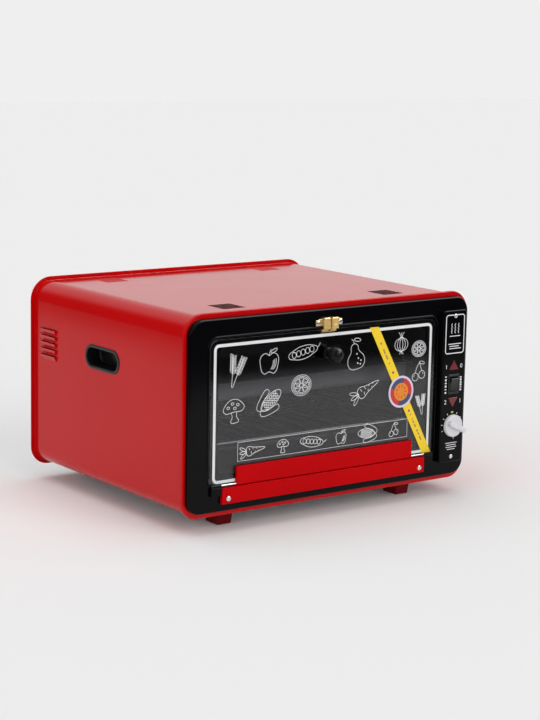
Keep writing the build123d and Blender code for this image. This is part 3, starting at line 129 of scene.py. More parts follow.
class Editing:
    """Edit mode on one piece, for the length of a with block."""

    def __init__(self, piece: Piece) -> None:
        """Remembers the piece."""
        self.piece = piece

    def __enter__(self) -> "Editing":
        """Opens edit mode with everything selected.

        Returns:
            The block's own handle.
        """
        only(self.piece)
        bpy.ops.object.mode_set(mode="EDIT")
        bpy.ops.mesh.select_mode(type="VERT")
        bpy.ops.mesh.select_all(action="SELECT")
        return self

    def __exit__(self, *_: object) -> None:
        """Goes back to object mode."""
        bpy.ops.object.mode_set(mode="OBJECT")

    def seal(self) -> None:
        """Merges doubles and turns every face of one closed shell outwards."""
        bpy.ops.mesh.select_all(action="SELECT")
        bpy.ops.mesh.remove_doubles(threshold=2e-6)
        bpy.ops.mesh.normals_make_consistent(inside=False)
        if bmesh.from_edit_mesh(self.piece.data).calc_volume(signed=True) < 0:
            bpy.ops.mesh.flip_normals()

    def pick(self, wanted: Callable[[Vector], bool]) -> None:
        """Selects the visible vertices whose places, in millimetres, pass a test.

        Args:
            wanted: the test, given a vertex's place.
        """
        bpy.ops.mesh.select_all(action="DESELECT")
        mesh = bmesh.from_edit_mesh(self.piece.data)
        for vertex in mesh.verts:
            vertex.select = not vertex.hide and wanted(vertex.co / MM)
        mesh.select_flush(True)
        bmesh.update_edit_mesh(self.piece.data)


def blank(name: str) -> Piece:
    """An empty mesh piece at the origin.

    Args:
        name: the piece's name.

    Returns:
        The piece.
    """
    bpy.ops.object.select_all(action="DESELECT")
    bpy.ops.mesh.primitive_plane_add(size=1.0, location=(0, 0, 0))
    piece = bpy.context.object
    piece.name = name
    piece.data.name = name
    with Editing(piece):
        bpy.ops.mesh.delete(type="VERT")
    return piece


def apply_modifier(piece: Piece, kind: str, **settings: object) -> None:
    """Adds a modifier, sets it and applies it.

    Args:
        piece: the piece.
        kind: the modifier's type.
        settings: its settings by name.
    """
    only(piece)
    bpy.ops.object.modifier_add(type=kind)
    modifier = piece.modifiers[-1]
    for name, value in settings.items():
        setattr(modifier, name, value)
    bpy.ops.object.modifier_apply(modifier=modifier.name)


def join(pieces: Sequence[Piece]) -> Piece:
    """Joins pieces into the first of them.

    Args:
        pieces: the pieces.

    Returns:
        The joined piece.
    """
    if len(pieces) > 1:
        bpy.ops.object.select_all(action="DESELECT")
        for piece in pieces:
            piece.select_set(True)
        bpy.context.view_layer.objects.active = pieces[0]
        bpy.ops.object.join()
    return pieces[0]


def copied(piece: Piece, name: str) -> Piece:
    """A copy of a piece, with its own mesh and name.

    Args:
        piece: the piece.
        name: the copy's name.

    Returns:
        The copy.
    """
    only(piece)
    bpy.ops.object.duplicate()
    made = bpy.context.object
    made.name = made.data.name = name
    return made


def place(piece: Piece, x: float, y: float, z: float, turn: Triple = (0, 0, 0)) -> Piece:
    """Turns a piece by degrees about each axis, moves it and applies both.

    Args:
        piece: the piece, modelled about the origin.
        x: how far right.
        y: how far back.
        z: how far up.
        turn: degrees about X, Y and Z.

    Returns:
        The same piece.
    """
    only(piece)
    piece.rotation_euler = [math.radians(angle) for angle in turn]
    piece.location = at(x, y, z)
    bpy.ops.object.transform_apply(location=True, rotation=True, scale=True)
    return piece


def carve(piece: Piece, cutters: Sequence[Piece]) -> None:
    """Cuts shapes out of a piece and removes them.

    Args:
        piece: the piece that is cut.
        cutters: closed shapes that don't touch each other.
    """
    cutter = join(cutters)
    apply_modifier(piece, "BOOLEAN", operation="DIFFERENCE", solver="EXACT", object=cutter)
    bpy.data.objects.remove(cutter)


def soften(piece: Piece, width: float, segments: int = 2, angle: float = 40.0) -> None:
    """Rounds every edge sharper than an angle.

    Args:
        piece: the piece.
        width: how far each edge is cut back.
        segments: how many chords go round an edge.
        angle: the angle in degrees.
    """
    apply_modifier(
        piece, "BEVEL", width=width * MM, segments=segments, limit_method="ANGLE",
        angle_limit=math.radians(angle), miter_outer="MITER_ARC",
    )


@dataclass(frozen=True)
class Outline:
    """A rectangle with rounded corners, seen from the front."""

    x: float
    z: float
    width: float
    height: float
    top: float
    bottom: float

    def grown(self, by: float) -> "Outline":
        """The same outline, offset outwards by a distance."""
        top, bottom = max(self.top + by, 0.15), max(self.bottom + by, 0.15)
        return Outline(self.x, self.z, self.width + 2 * by, self.height + 2 * by, top, bottom)


def slot(length: float, width: float) -> Outline:
    """A slot with round ends about the origin."""
    radius = width / 2 - 0.01
    return Outline(0, 0, length, width, radius, radius)


def arc(start: Pair, end: Pair, along: bool, steps: int = 4) -> list[Pair]:
    """A quarter of an oval between two points of a profile.

    Args:
        start: its first point.
        end: its last point.
        along: whether it leaves the first point along the first axis.
        steps: how many chords it has.

    Returns:
        The points, both ends included.
    """
    (a0, b0), (a1, b1) = start, end
    points = []
    for step in range(steps + 1):
        turn = math.pi / 2 * step / steps
        quick, slow = math.sin(turn), 1 - math.cos(turn)
        share_a, share_b = (quick, slow) if along else (slow, quick)
        points.append((a0 + (a1 - a0) * share_a, b0 + (b1 - b0) * share_b))
    return points


class Loft:
    """A shell bridged from one rounded outline to the next."""

    def __init__(self, name: str, segments: int = 6) -> None:
        """Starts an empty shell.

        Args:
            name: the piece's name.
            segments: how many chords each rounded corner has.
        """
        self.piece = blank(name)
        self.segments = segments
        self.places: list[float] = []

    def ring(self, y: float, outline: Outline) -> None:
        """Adds an outline.

        Args:
            y: where it lies; until the shell is closed it stands a step from the one before.
            outline: its shape.
        """
        middle = at(outline.x, STEP * len(self.places), outline.z)
        self.places.append(y)
        with Editing(self.piece) as edit:
            bpy.ops.mesh.hide()
            bpy.ops.mesh.primitive_plane_add(size=1.0, location=middle, rotation=(math.radians(90), 0, 0))
            size = (outline.width * MM, 1.0, outline.height * MM)
            bpy.ops.transform.resize(value=size, center_override=middle)
            for radius, low in ((outline.top, False), (outline.bottom, True)):
                edit.pick(lambda place: (place.z < outline.z) == low)
                bpy.ops.mesh.bevel(
                    offset=radius * MM, segments=self.segments, affect="VERTICES", profile=0.5
                )
            bpy.ops.mesh.select_all(action="SELECT")
            bpy.ops.mesh.delete(type="ONLY_FACE")
            bpy.ops.mesh.select_all(action="SELECT")
            bpy.ops.object.vertex_group_assign_new()
            bpy.ops.mesh.reveal(select=False)

    def walk(self, outline: Outline, profile: Profile) -> "Loft":
        """Adds the same outline again and again, offset as a profile says.

        Args:
            outline: the outline.
            profile: pairs of a place along Y and an offset.

        Returns:
            The loft.
        """
        for y, by in profile:
            self.ring(y, outline.grown(by))
        return self

    def choose(self, *groups: int) -> None:
        """Selects whole outlines by number."""
        bpy.ops.mesh.select_all(action="DESELECT")
        for group in groups:
            self.piece.vertex_groups.active_index = group
            bpy.ops.object.vertex_group_select()

    def close(self, ends: Ends = Ends.CAPPED) -> Piece:
        """Bridges the outlines.

        Args:
            ends: what happens at the first and last one.

        Returns:
            The closed piece.
        """
        last = len(self.places) - 1
        with Editing(self.piece) as edit:
            for first in range(last):
                self.choose(first, first + 1)
                bpy.ops.mesh.bridge_edge_loops()
            if ends is Ends.JOINED:
                self.choose(last, 0)
                bpy.ops.mesh.bridge_edge_loops()
            else:
                for end in (0, last):
                    self.choose(end)
                    bpy.ops.mesh.edge_face_add()
            for group, y in enumerate(self.places):
                self.choose(group)
                bpy.ops.transform.translate(value=at(0, y - STEP * group, 0))
            edit.seal()
        self.piece.vertex_groups.clear()
        return self.piece


def chain(points: Sequence[Triple]) -> None:
    """Draws a run of edges from one point to the next, in edit mode.

    Args:
        points: the points.
    """
    bpy.ops.mesh.primitive_plane_add(size=MM, location=at(*points[0]))
    bpy.ops.mesh.merge(type="CENTER")
    for start, end in zip(points, points[1:]):
        bpy.ops.mesh.extrude_region_move(TRANSFORM_OT_translate={"value": at(*end) - at(*start)})


def turned(name: str, x: float, z: float, profile: Profile, steps: int = 48) -> Piece:
    """A round shape spun about an axis that runs front to back.

    Args:
        name: the piece's name.
        x: the axis, across.
        z: the axis, in height.
        profile: pairs of a place along Y and a radius.
        steps: how many chords go round.

    Returns:
        The piece.
    """
    piece = blank(name)
    with Editing(piece) as edit:
        chain([(x + radius, y, z) for y, radius in profile])
        bpy.ops.mesh.select_all(action="SELECT")
        bpy.ops.mesh.spin(steps=steps, angle=2 * math.pi, center=at(x, 0, z), axis=(0, 1, 0))
        edit.seal()
    return piece


def block(name: str, low: Triple, high: Triple, edge: float = 0.0, segments: int = 3) -> Piece:
    """A block between two corners, with its edges rounded.

    Args:
        name: the piece's name.
        low: its lowest corner.
        high: its highest corner.
        edge: the edges' radius.
        segments: how many chords round an edge.

    Returns:
        The piece.
    """
    piece = blank(name)
    middle = (at(*low) + at(*high)) / 2
    with Editing(piece):
        bpy.ops.mesh.primitive_cube_add(size=1.0, location=middle)
        bpy.ops.transform.resize(value=at(*high) - at(*low), center_override=middle)
        if edge:
            bpy.ops.mesh.bevel(offset=edge * MM, segments=segments, affect="EDGES")
    return piece


def printed(
    name: str, outline: Outline, width: float, face: float, segments: int = 8, edge: float = 0.05
) -> Piece:
    """A printed line inside an outline, standing a little off a face.

    Args:
        name: the piece's name.
        outline: its outer edge.
        width: the line's width.
        face: the face's place along Y.
        segments: how many chords each corner has.
        edge: how far its edges are chamfered.

    Returns:
        The line.
    """
    proud = face - 0.06
    profile = [(face + SINK, 0), (proud, -edge), (proud, -width + edge), (face + SINK, -width)]
    return Loft(name, segments).walk(outline, profile).close(Ends.JOINED)


def crossbar(
    name: str, x0: float, x1: float, y: float, z: float, radius: float, edge: float = 0.3
) -> Piece:
    """A round bar along X.

    Args:
        name: the piece's name.
        x0: its left end.
        x1: its right end.
        y: its axis, front to back.
        z: its axis, in height.
        radius: its radius.
        edge: how far its ends are chamfered.

    Returns:
        The piece.
    """
    left = [(x0, 0), (x0, radius - edge), (x0 + edge, radius)]
    right = [(x1 - edge, radius), (x1, radius - edge), (x1, 0)]
    bar = turned(name, 0, 0, [(-along, size) for along, size in left + right], 32)
    return place(bar, 0, y, z, (0, 0, 90))


class Graph:
    """A node tree, with short ways to add nodes and to do sums."""

    def __init__(self, tree: bpy.types.NodeTree) -> None:
        """Takes the tree."""
        self.tree = tree

    def feed(self, socket: Socket, value: Value) -> None:
        """Links an input to a socket, or sets it to a plain value.

        Args:
            socket: the input.
            value: another node's socket or a plain value.
        """
        if isinstance(value, Socket):
            self.tree.links.new(value, socket)
        else:
            socket.default_value = value

    def add(
        self, kind: str, inputs: dict[str | int, Value] | None = None, **settings: object
    ) -> bpy.types.Node:
        """Adds a node.

        Args:
            kind: its type.
            inputs: its inputs, by name or number.
            settings: its other settings.

        Returns:
            The node.
        """
        node = self.tree.nodes.new(kind)
        for name, value in settings.items():
            setattr(node, name, value)
        for key, value in (inputs or {}).items():
            self.feed(node.inputs[key], value)
        return node

    def effect(self, group: Group, **inputs: Value) -> Socket:
        """What a shared group gives for some inputs."""
        return self.add("ShaderNodeGroup", node_tree=group, inputs=inputs).outputs[0]

    def here(self, space: str = "Object") -> Socket:
        """The shaded point's place."""
        return self.add("ShaderNodeTexCoord").outputs[space]

    def apart(self, spot: Socket) -> tuple[Socket, Socket, Socket]:
        """A place's three numbers."""
        parts = self.add("ShaderNodeSeparateXYZ", {0: spot}).outputs
        return parts["X"], parts["Y"], parts["Z"]

    def noise(self, spot: Socket, scale: Socket, **inputs: float) -> Socket:
        """Soft noise over places, at a scale."""
        inputs = {"Vector": spot, "Scale": scale, **inputs}
        return self.add("ShaderNodeTexNoise", inputs).outputs["Fac"]

    def math(self, kind: str, first: Value, second: Value = 0.0, **settings: object) -> Socket:
        """The result of one operation on two values."""
        return self.add("ShaderNodeMath", {0: first, 1: second}, operation=kind, **settings).outputs[0]

    def chain(self, kind: str, values: Iterable[Value]) -> Value:
        """The result of one operation, taken from value to value."""
        return reduce(lambda result, value: self.math(kind, result, value), values)

    def reach(self, first: Socket, second: Socket) -> Socket:
        """How far a point on a plane is from the origin."""
        squares = self.math("ADD", *(self.math("MULTIPLY", value, value) for value in (first, second)))
        return self.math("POWER", squares, 0.5)

    def between(self, value: Socket, low: float, high: float) -> Socket:
        """A mask of the places where a value lies between two limits."""
        above, below = self.math("GREATER_THAN", value, low), self.math("LESS_THAN", value, high)
        return self.math("MULTIPLY", above, below)

    def blend(self, mask: Socket, plain: Value, marked: Value) -> Socket:
        """A colour that a mask chooses."""
        inputs = {"Factor": mask, "A": solid(plain), "B": solid(marked)}
        return self.add("ShaderNodeMix", inputs, data_type="RGBA").outputs["Result"]

    def level(self, mask: Socket, off: Value, on: Value) -> Socket:
        """A number that a mask chooses."""
        return self.add("ShaderNodeMix", {"Factor": mask, "A": off, "B": on}).outputs["Result"]

    def fade(self, value: Socket, limit: float, width: float) -> Socket:
        """A mask that rises over a width about a limit, or falls if the width is negative."""
        inputs = {"Value": value, "From Min": limit - width / 2, "From Max": limit + width / 2}
        return self.add("ShaderNodeMapRange", inputs, interpolation_type="SMOOTHSTEP").outputs[0]


def solid(colour: Value) -> Value:
    """A colour with its fourth number; a socket stays as it is."""
    return colour if isinstance(colour, Socket) else (*colour, 1.0)


class Effects:
    """The node groups that several finishes share, each made when it is first asked for."""

    @staticmethod
    def start(
        name: str, inputs: dict[str, str], output: str, kind: str
    ) -> tuple[Graph, dict[str, Socket], Socket]:
        """A new group with its sockets.

        Args:
            name: the group's name.
            inputs: its inputs, by name, with their kinds.
            output: its output's name.
            kind: its output's kind.

        Returns:
            The graph, what comes in and the socket that goes out.
        """
        graph = Graph(bpy.data.node_groups.new(name, "ShaderNodeTree"))
        ways = [(label, sort, "INPUT") for label, sort in inputs.items()] + [(output, kind, "OUTPUT")]
        for label, sort, way in ways:
            graph.tree.interface.new_socket(name=label, in_out=way, socket_type=f"NodeSocket{sort}")
        return graph, graph.add("NodeGroupInput").outputs, graph.add("NodeGroupOutput").inputs[output]

    @staticmethod
    @cache
    def drift() -> Group:
        """Colour that drifts a little in value over a surface.

        Returns:
            The group.
        """
        inputs = {"Colour": "Color", "Amount": "Float", "Scale": "Float"}
        graph, given, end = Effects.start("drift", inputs, "Colour", "Color")
        noise = graph.noise(graph.here(), given["Scale"], Detail=5.0)
        limits = {
            "Value": noise, "From Min": 0.3, "From Max": 0.7,
            "To Min": graph.math("SUBTRACT", 1.0, given["Amount"]),
            "To Max": graph.math("ADD", 1.0, given["Amount"]),
        }
        value = graph.add("ShaderNodeMapRange", limits).outputs[0]
        tone = graph.add("ShaderNodeHueSaturation", {"Value": value, "Color": given["Colour"]})
        graph.feed(end, tone.outputs["Color"])
        return graph.tree

    @staticmethod
    @cache
    def smudge() -> Group:
        """Roughness that changes where hands and cloths have been.

        Returns:
            The group.
        """
        inputs = {"Roughness": "Float", "Spread": "Float", "Scale": "Float"}
        graph, given, end = Effects.start("smudge", inputs, "Roughness", "Float")
        noise = graph.noise(graph.here(), given["Scale"], Detail=8.0, Distortion=0.6)
        change = graph.math("MULTIPLY", graph.math("SUBTRACT", noise, 0.5), given["Spread"])
        graph.feed(end, graph.math("ADD", change, given["Roughness"], use_clamp=True))
        return graph.tree

    @staticmethod
    @cache
    def grain() -> Group:
        """Fine height of paint, moulding or brushing, stretched along an axis if wanted.

        Returns:
            The group.
        """
        inputs = {"Scale": "Float", "Stretch": "Vector"}
        graph, given, end = Effects.start("grain", inputs, "Height", "Float")
        spot = graph.add(
            "ShaderNodeVectorMath", {0: graph.here(), 1: given["Stretch"]}, operation="MULTIPLY"
        ).outputs[0]
        graph.feed(end, graph.noise(spot, given["Scale"], Detail=3.0, Roughness=0.6))
        return graph.tree

    @staticmethod
    @cache
    def fleck() -> Group:
        """A mask of small scattered flecks.

        Returns:
            The group.
        """
        graph, given, end = Effects.start("fleck", {"Scale": "Float", "Size": "Float"}, "Mask", "Float")
        cells = graph.add("ShaderNodeTexVoronoi", {"Vector": graph.here(), "Scale": given["Scale"]})
        graph.feed(end, graph.math("LESS_THAN", cells.outputs["Distance"], given["Size"]))
        return graph.tree


@dataclass(frozen=True)
class Finish:
    """A surface and how it varies: drift of its colour, smudges, grain and flecks."""

    name: str
    colour: Colour
    roughness: float = 0.4
    metallic: float = 0.0
    drift: float = 0.06
    drift_scale: float = 9.0
    spread: float = 0.12
    smudge_scale: float = 14.0
    grain: float = 700.0
    depth: float = 0.02
    stretch: Colour = (1.0, 1.0, 1.0)
    specular: float = 0.5
    coat: float = 0.0
    transmission: float = 0.0
    fleck: Colour | None = None
    fleck_scale: float = 420.0
    fleck_size: float = 0.13
    sheen: float = 0.0
    clear: float = 0.0
    slot: str = ""

    def material(self) -> bpy.types.Material:
        """The finish as a material, made the first time it is asked for.

        Returns:
            The material.
        """
        label = f"{self.name}_finish"
        found = bpy.data.materials.get(label)
        if found:
            return found
        made = bpy.data.materials.new(label)
        made.use_nodes = True
        made.diffuse_color = solid(self.colour)
        graph = Graph(made.node_tree)
        shader = made.node_tree.nodes["Principled BSDF"]
        for name, value in {**self.steady(), **self.varied(graph)}.items():
            graph.feed(shader.inputs[name], value)
        if self.clear:
            self.let_light_in(graph, shader)
        return made

    def steady(self) -> dict[str, float]:
        """The shader's inputs that are the same all over.

        Returns:
            Their values by name.
        """
        return {
            "Metallic": self.metallic, "Specular IOR Level": self.specular,
            "Coat Weight": self.coat, "Coat Roughness": COAT_ROUGHNESS,
            "Transmission Weight": self.transmission, "Sheen Weight": self.sheen,
        }

    def varied(self, graph: Graph) -> dict[str, Socket]:
        """The shader's inputs that vary: colour, roughness and fine relief.

        Args:
            graph: the material's nodes.

        Returns:
            Their sockets by name.
        """
        tone = graph.effect(
            Effects.drift(), Colour=self.paint(graph), Amount=self.drift, Scale=self.drift_scale
        )
        if self.fleck:
            mask = graph.effect(Effects.fleck(), Scale=self.fleck_scale, Size=self.fleck_size)
            tone = graph.blend(mask, tone, self.fleck)
        rub = graph.effect(
            Effects.smudge(), Roughness=self.roughness, Spread=self.spread, Scale=self.smudge_scale
        )
        height = graph.effect(Effects.grain(), Scale=self.grain, Stretch=self.stretch)
        bump = graph.add("ShaderNodeBump", {"Strength": 1.0, "Distance": self.depth * MM, "Height": height})
        return {"Base Color": tone, "Roughness": rub, "Normal": bump.outputs["Normal"]}

    def paint(self, graph: Graph) -> Value:
        """The colour before it drifts."""
        return solid(self.colour)

    def let_light_in(self, graph: Graph, shader: bpy.types.Node) -> None:
        """Lets the lamps' light through glass, so that what is behind it is lit.

        Args:
            graph: the material's nodes.
            shader: its shader.
        """
        shadow = graph.add("ShaderNodeLightPath").outputs["Is Shadow Ray"]
        clear = graph.add("ShaderNodeBsdfTransparent", {"Color": solid((self.clear,) * 3)})
        mix = graph.add("ShaderNodeMixShader", {0: shadow, 1: shader.outputs[0], 2: clear.outputs[0]})
        graph.feed(graph.tree.nodes["Material Output"].inputs["Surface"], mix.outputs[0])


@dataclass(frozen=True)
class WrapWithPaintedShade(Finish):
    """Red enamel with painted shade: nearly black below the skin in the top's front louvres, standing in
    for the shade inside louvres that open towards the eye.

    The limits of the painted shade are in millimetres in the frame, along X, Y and Z.
    """

    shade: Colour = (0.03, 0.001, 0.001)
    across: Pair = (-180.0, 180.0)
    deep: Pair = (-173.0, -100.0)
    high: Pair = (312.0, 319.96)

    def paint(self, graph: Graph) -> Value:
        """Paints shade on what lies below the skin in the two front fields.

        Args:
            graph: the material's nodes.

        Returns:
            The colour.
        """
        limits = (self.across, self.deep, self.high)
        painted_shade_masks = [
            graph.between(value, low * MM, high * MM)
            for value, (low, high) in zip(graph.apart(graph.here()), limits)
        ]
        # Painted shade: the masked louvre insides take the shade colour in place of the red.
        return graph.blend(graph.chain("MULTIPLY", painted_shade_masks), self.colour, self.shade)


@dataclass(frozen=True)
class PaperFinish(Finish):
    """Printed paper, with its pattern about one point and along one line."""

    centre: Pair = BAND_CENTRE
    lean: float = -BAND_LEAN

    def local(self, graph: Graph) -> tuple[Socket, Socket]:
        """How far a place is across the paper and along it.

        Args:
            graph: the material's nodes.

        Returns:
            The two distances.
        """
        inputs = {
            "Vector": graph.here(), "Location": at(self.centre[0], 0, self.centre[1]),
            "Rotation": (0, math.radians(self.lean), 0),
        }
        across, _, along = graph.apart(
            graph.add("ShaderNodeMapping", inputs, vector_type="TEXTURE").outputs[0]
        )
        return across, along


@dataclass(frozen=True)
class BandFinish(PaperFinish):
    """Yellow paper with a row of short dark dashes along each half and a few dots."""

    ink: Colour = (0.05, 0.05, 0.16)
    pitch: float = 2.1
    skipped: float = 0.42
    dash: float = 0.62
    half: float = 1.5
    run: Pair = (42.0, 92.0)
    first_dot: float = 36.0
    dot_pitch: float = 62.0
    dot: float = 1.9

    def paint(self, graph: Graph) -> Value:
        """Draws the dashes and the dots.

        Args:
            graph: the material's nodes.

        Returns:
            The colour.
        """
        across, along = self.local(graph)
        cell = graph.math("DIVIDE", along, self.pitch * MM)
        chance = graph.add(
            "ShaderNodeTexWhiteNoise", noise_dimensions="1D", inputs={"W": graph.math("FLOOR", cell)}
        ).outputs["Value"]
        reach = graph.math("ABSOLUTE", along)
        dashes = graph.chain("MULTIPLY", (
            graph.math("GREATER_THAN", chance, self.skipped),
            graph.math("LESS_THAN", graph.math("FRACT", cell), self.dash),
            graph.math("LESS_THAN", graph.math("ABSOLUTE", across), self.half * MM),
            graph.between(reach, self.run[0] * MM, self.run[1] * MM),
        ))
        past = graph.math("SUBTRACT", reach, self.first_dot * MM)
        spot = graph.reach(graph.math("PINGPONG", past, self.dot_pitch * MM), across)
        mask = graph.math("MAXIMUM", dashes, graph.math("LESS_THAN", spot, self.dot * MM))
        return graph.blend(mask, self.colour, self.ink)


@dataclass(frozen=True)
class DiscFinish(PaperFinish):
    """A paper disc: a yellow centre with plain rays, a ring in red and dark blue and a pale rim."""

    radius: float = 25.0
    quarters: tuple[Colour, Colour] = ((0.62, 0.03, 0.02), (0.05, 0.07, 0.16))
    quarter_share: float = 0.72
    ray: Colour = (0.72, 0.08, 0.02)
    rays: float = 9.0
    ray_share: float = 0.35
    ray_run: Pair = (0.26, 0.44)
    ring_from: float = 0.56
    rim: Colour = (0.72, 0.62, 0.78)
    rim_from: float = 0.86

    def paint(self, graph: Graph) -> Value:
        """Draws the rings, their quarters and the rays.

        Args:
            graph: the material's nodes.

        Returns:
            The colour.
        """
        across, along = self.local(graph)
        radius = graph.math("DIVIDE", graph.reach(across, along), self.radius * MM)
        angle = graph.math("ARCTAN2", along, across)
        side = graph.math("ABSOLUTE", graph.math("SINE", angle))
        ring = graph.blend(graph.math("GREATER_THAN", side, self.quarter_share), *self.quarters)
        beam = graph.math("SINE", graph.math("MULTIPLY", angle, self.rays))
        lit = graph.math("GREATER_THAN", beam, self.ray_share)
        rays = graph.math("MULTIPLY", lit, graph.between(radius, *self.ray_run))
        middle = graph.blend(rays, self.colour, self.ray)
        inner = graph.blend(graph.math("GREATER_THAN", radius, self.ring_from), middle, ring)
        return graph.blend(graph.math("GREATER_THAN", radius, self.rim_from), inner, self.rim)


# The two front louvre fields of this enamel carry painted shade, set in the class above.
RED_ENAMEL = WrapWithPaintedShade(
    "red_enamel", (0.56, 0.002, 0.003), 0.14, drift=0.04, drift_scale=5.0, spread=0.08,
    grain=420.0, depth=0.006, specular=0.2,
)
RED_STRIP = Finish(
    "red_strip", (0.52, 0.001, 0.003), 0.36, drift=0.05, grain=600.0, depth=0.01, specular=0.04,
    slot="red_enamel",
)
# The feet's red is darkened well below the casing's red: partly the plastic's own colour, partly painted
# shade from under the oven.
RED_PLASTIC_WITH_PAINTED_SHADE = Finish("red_plastic", (0.14, 0.002, 0.004), specular=0.1, grain=1600.0, depth=0.03)
BLACK_ENAMEL = Finish(
    "black_enamel", (0.0022, 0.0020, 0.0028), 0.13, drift=0.15, spread=0.08, grain=500.0,
    depth=0.006, specular=0.11,
)
BLACK_PLASTIC = Finish("black_plastic", (0.007, 0.007, 0.008), 0.28, drift=0.15, grain=2200.0)
BALL_PLASTIC = Finish(
    "ball_plastic", (0.007, 0.007, 0.008), 0.12, drift=0.15, grain=900.0, depth=0.004, specular=0.15,
    slot="black_plastic",
)
PALE_PLASTIC = Finish("pale_plastic", (0.72, 0.71, 0.75), 0.36, drift=0.03, grain=2400.0)
RED_LENS = Finish(
    "red_lens", (0.21, 0.005, 0.009), 0.14, drift=0.10, grain=2600.0, depth=0.05,
    transmission=0.25, coat=0.3,
)
ZINC_PLATE = Finish(
    "zinc_plate", (0.56, 0.57, 0.58), 0.42, 0.85, drift=0.07, drift_scale=22.0, spread=0.16,
    grain=240.0, depth=0.01,
)
CAVITY_ENAMEL = Finish(
    "cavity_enamel", (0.06, 0.06, 0.066), 0.38, drift=0.12, depth=0.001, fleck=(0.08, 0.08, 0.085),
)
TRAY_ENAMEL = replace(
    CAVITY_ENAMEL, name="tray_enamel", colour=(0.17, 0.17, 0.18), fleck=(0.21, 0.21, 0.22),
    slot="cavity_enamel",
)
TINTED_GLASS = Finish(
    "tinted_glass", (0.52, 0.52, 0.55), 0.0, drift=0.02, spread=0.01, grain=60.0, depth=0.00003,
    transmission=1.0, clear=0.6,
)
NEON_GLASS = Finish("neon_glass", (0.9, 0.55, 0.4), 0.05, transmission=0.8, depth=0.002)
BRASS_SHEET = Finish(
    "brass_sheet", (0.92, 0.66, 0.26), 0.42, 0.85, drift=0.10, spread=0.22, grain=500.0,
    depth=0.010, stretch=(1.0, 1.0, 6.0),
)
CHROMED_WIRE = Finish(
    "chromed_wire", (0.78, 0.78, 0.78), 0.14, 1.0, spread=0.14, grain=900.0, depth=0.004,
)
BRIGHT_SCREW = Finish(
    "bright_screw", (0.80, 0.80, 0.80), 0.22, 1.0, spread=0.18, grain=1500.0, depth=0.006,
)
STEEL = Finish(
    "steel", (0.50, 0.50, 0.51), 0.32, 1.0, drift=0.10, spread=0.20, grain=900.0, depth=0.008,
    stretch=(1.0, 5.0, 1.0),
)
HEATER_SHEATH = Finish(
    "heater_sheath", (0.16, 0.14, 0.13), 0.48, 0.7, drift=0.30, drift_scale=40.0, spread=0.25, grain=900.0,
)
MINERAL_BLANKET = Finish(
    "mineral_blanket", (0.76, 0.73, 0.64), 0.95, drift=0.14, drift_scale=60.0, grain=900.0,
    depth=0.9, stretch=(1.0, 0.25, 1.0), specular=0.1, sheen=0.3,
)
SILICONE = Finish("silicone", (0.30, 0.05, 0.045), 0.55, grain=1400.0, depth=0.03)
PORCELAIN = Finish("porcelain", (0.80, 0.78, 0.72), 0.18, drift=0.04, grain=300.0, depth=0.01, coat=0.5)
WHITE_INK = Finish(
    "white_ink", (0.80, 0.81, 0.82), 0.45, drift=0.05, drift_scale=60.0, grain=2600.0, depth=0.01,
    slot="band_paper",
)
AMBER_INK = replace(WHITE_INK, name="amber_ink", colour=(0.75, 0.55, 0.18), drift_scale=9.0)
BAND_PAPER = BandFinish("band_paper", (0.96, 0.66, 0.01), 0.50, drift=0.03, grain=1800.0)
DISC_PAPER = DiscFinish(
    "disc_paper", (0.80, 0.26, 0.015), 0.42, drift=0.03, grain=1800.0, slot="band_paper",
)


def settle(
    piece: Piece, finish: Finish, body: Body, nodes: Sequence[str] = (), angle: float = 35.0,
    shift: bool = True,
) -> None:
    """Finishes a piece: cleans and smooths its mesh, dresses it and hangs it on its body.

    Args:
        piece: the piece, modelled on the drawing.
        finish: its surface.
        body: what it rides on.
        nodes: the frame's nodes that it stands for.
        angle: edges sharper than this stay crisp.
        shift: whether it still has to move from the drawing into the frame.
    """
    if shift:
        place(piece, 0, FRONT_PLANE, 0)
    with Editing(piece):
        bpy.ops.mesh.remove_doubles(threshold=1e-6)
    only(piece)
    bpy.ops.object.shade_smooth_by_angle(angle=math.radians(angle))
    apply_modifier(piece, "WEIGHTED_NORMAL", keep_sharp=True)
    piece.data.materials.clear()
    piece.data.materials.append(finish.material())
    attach(piece, body.value)
    if nodes:
        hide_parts(*nodes)
    LOG.info("%s: %d faces on %s", piece.name, len(piece.data.polygons), body.value)


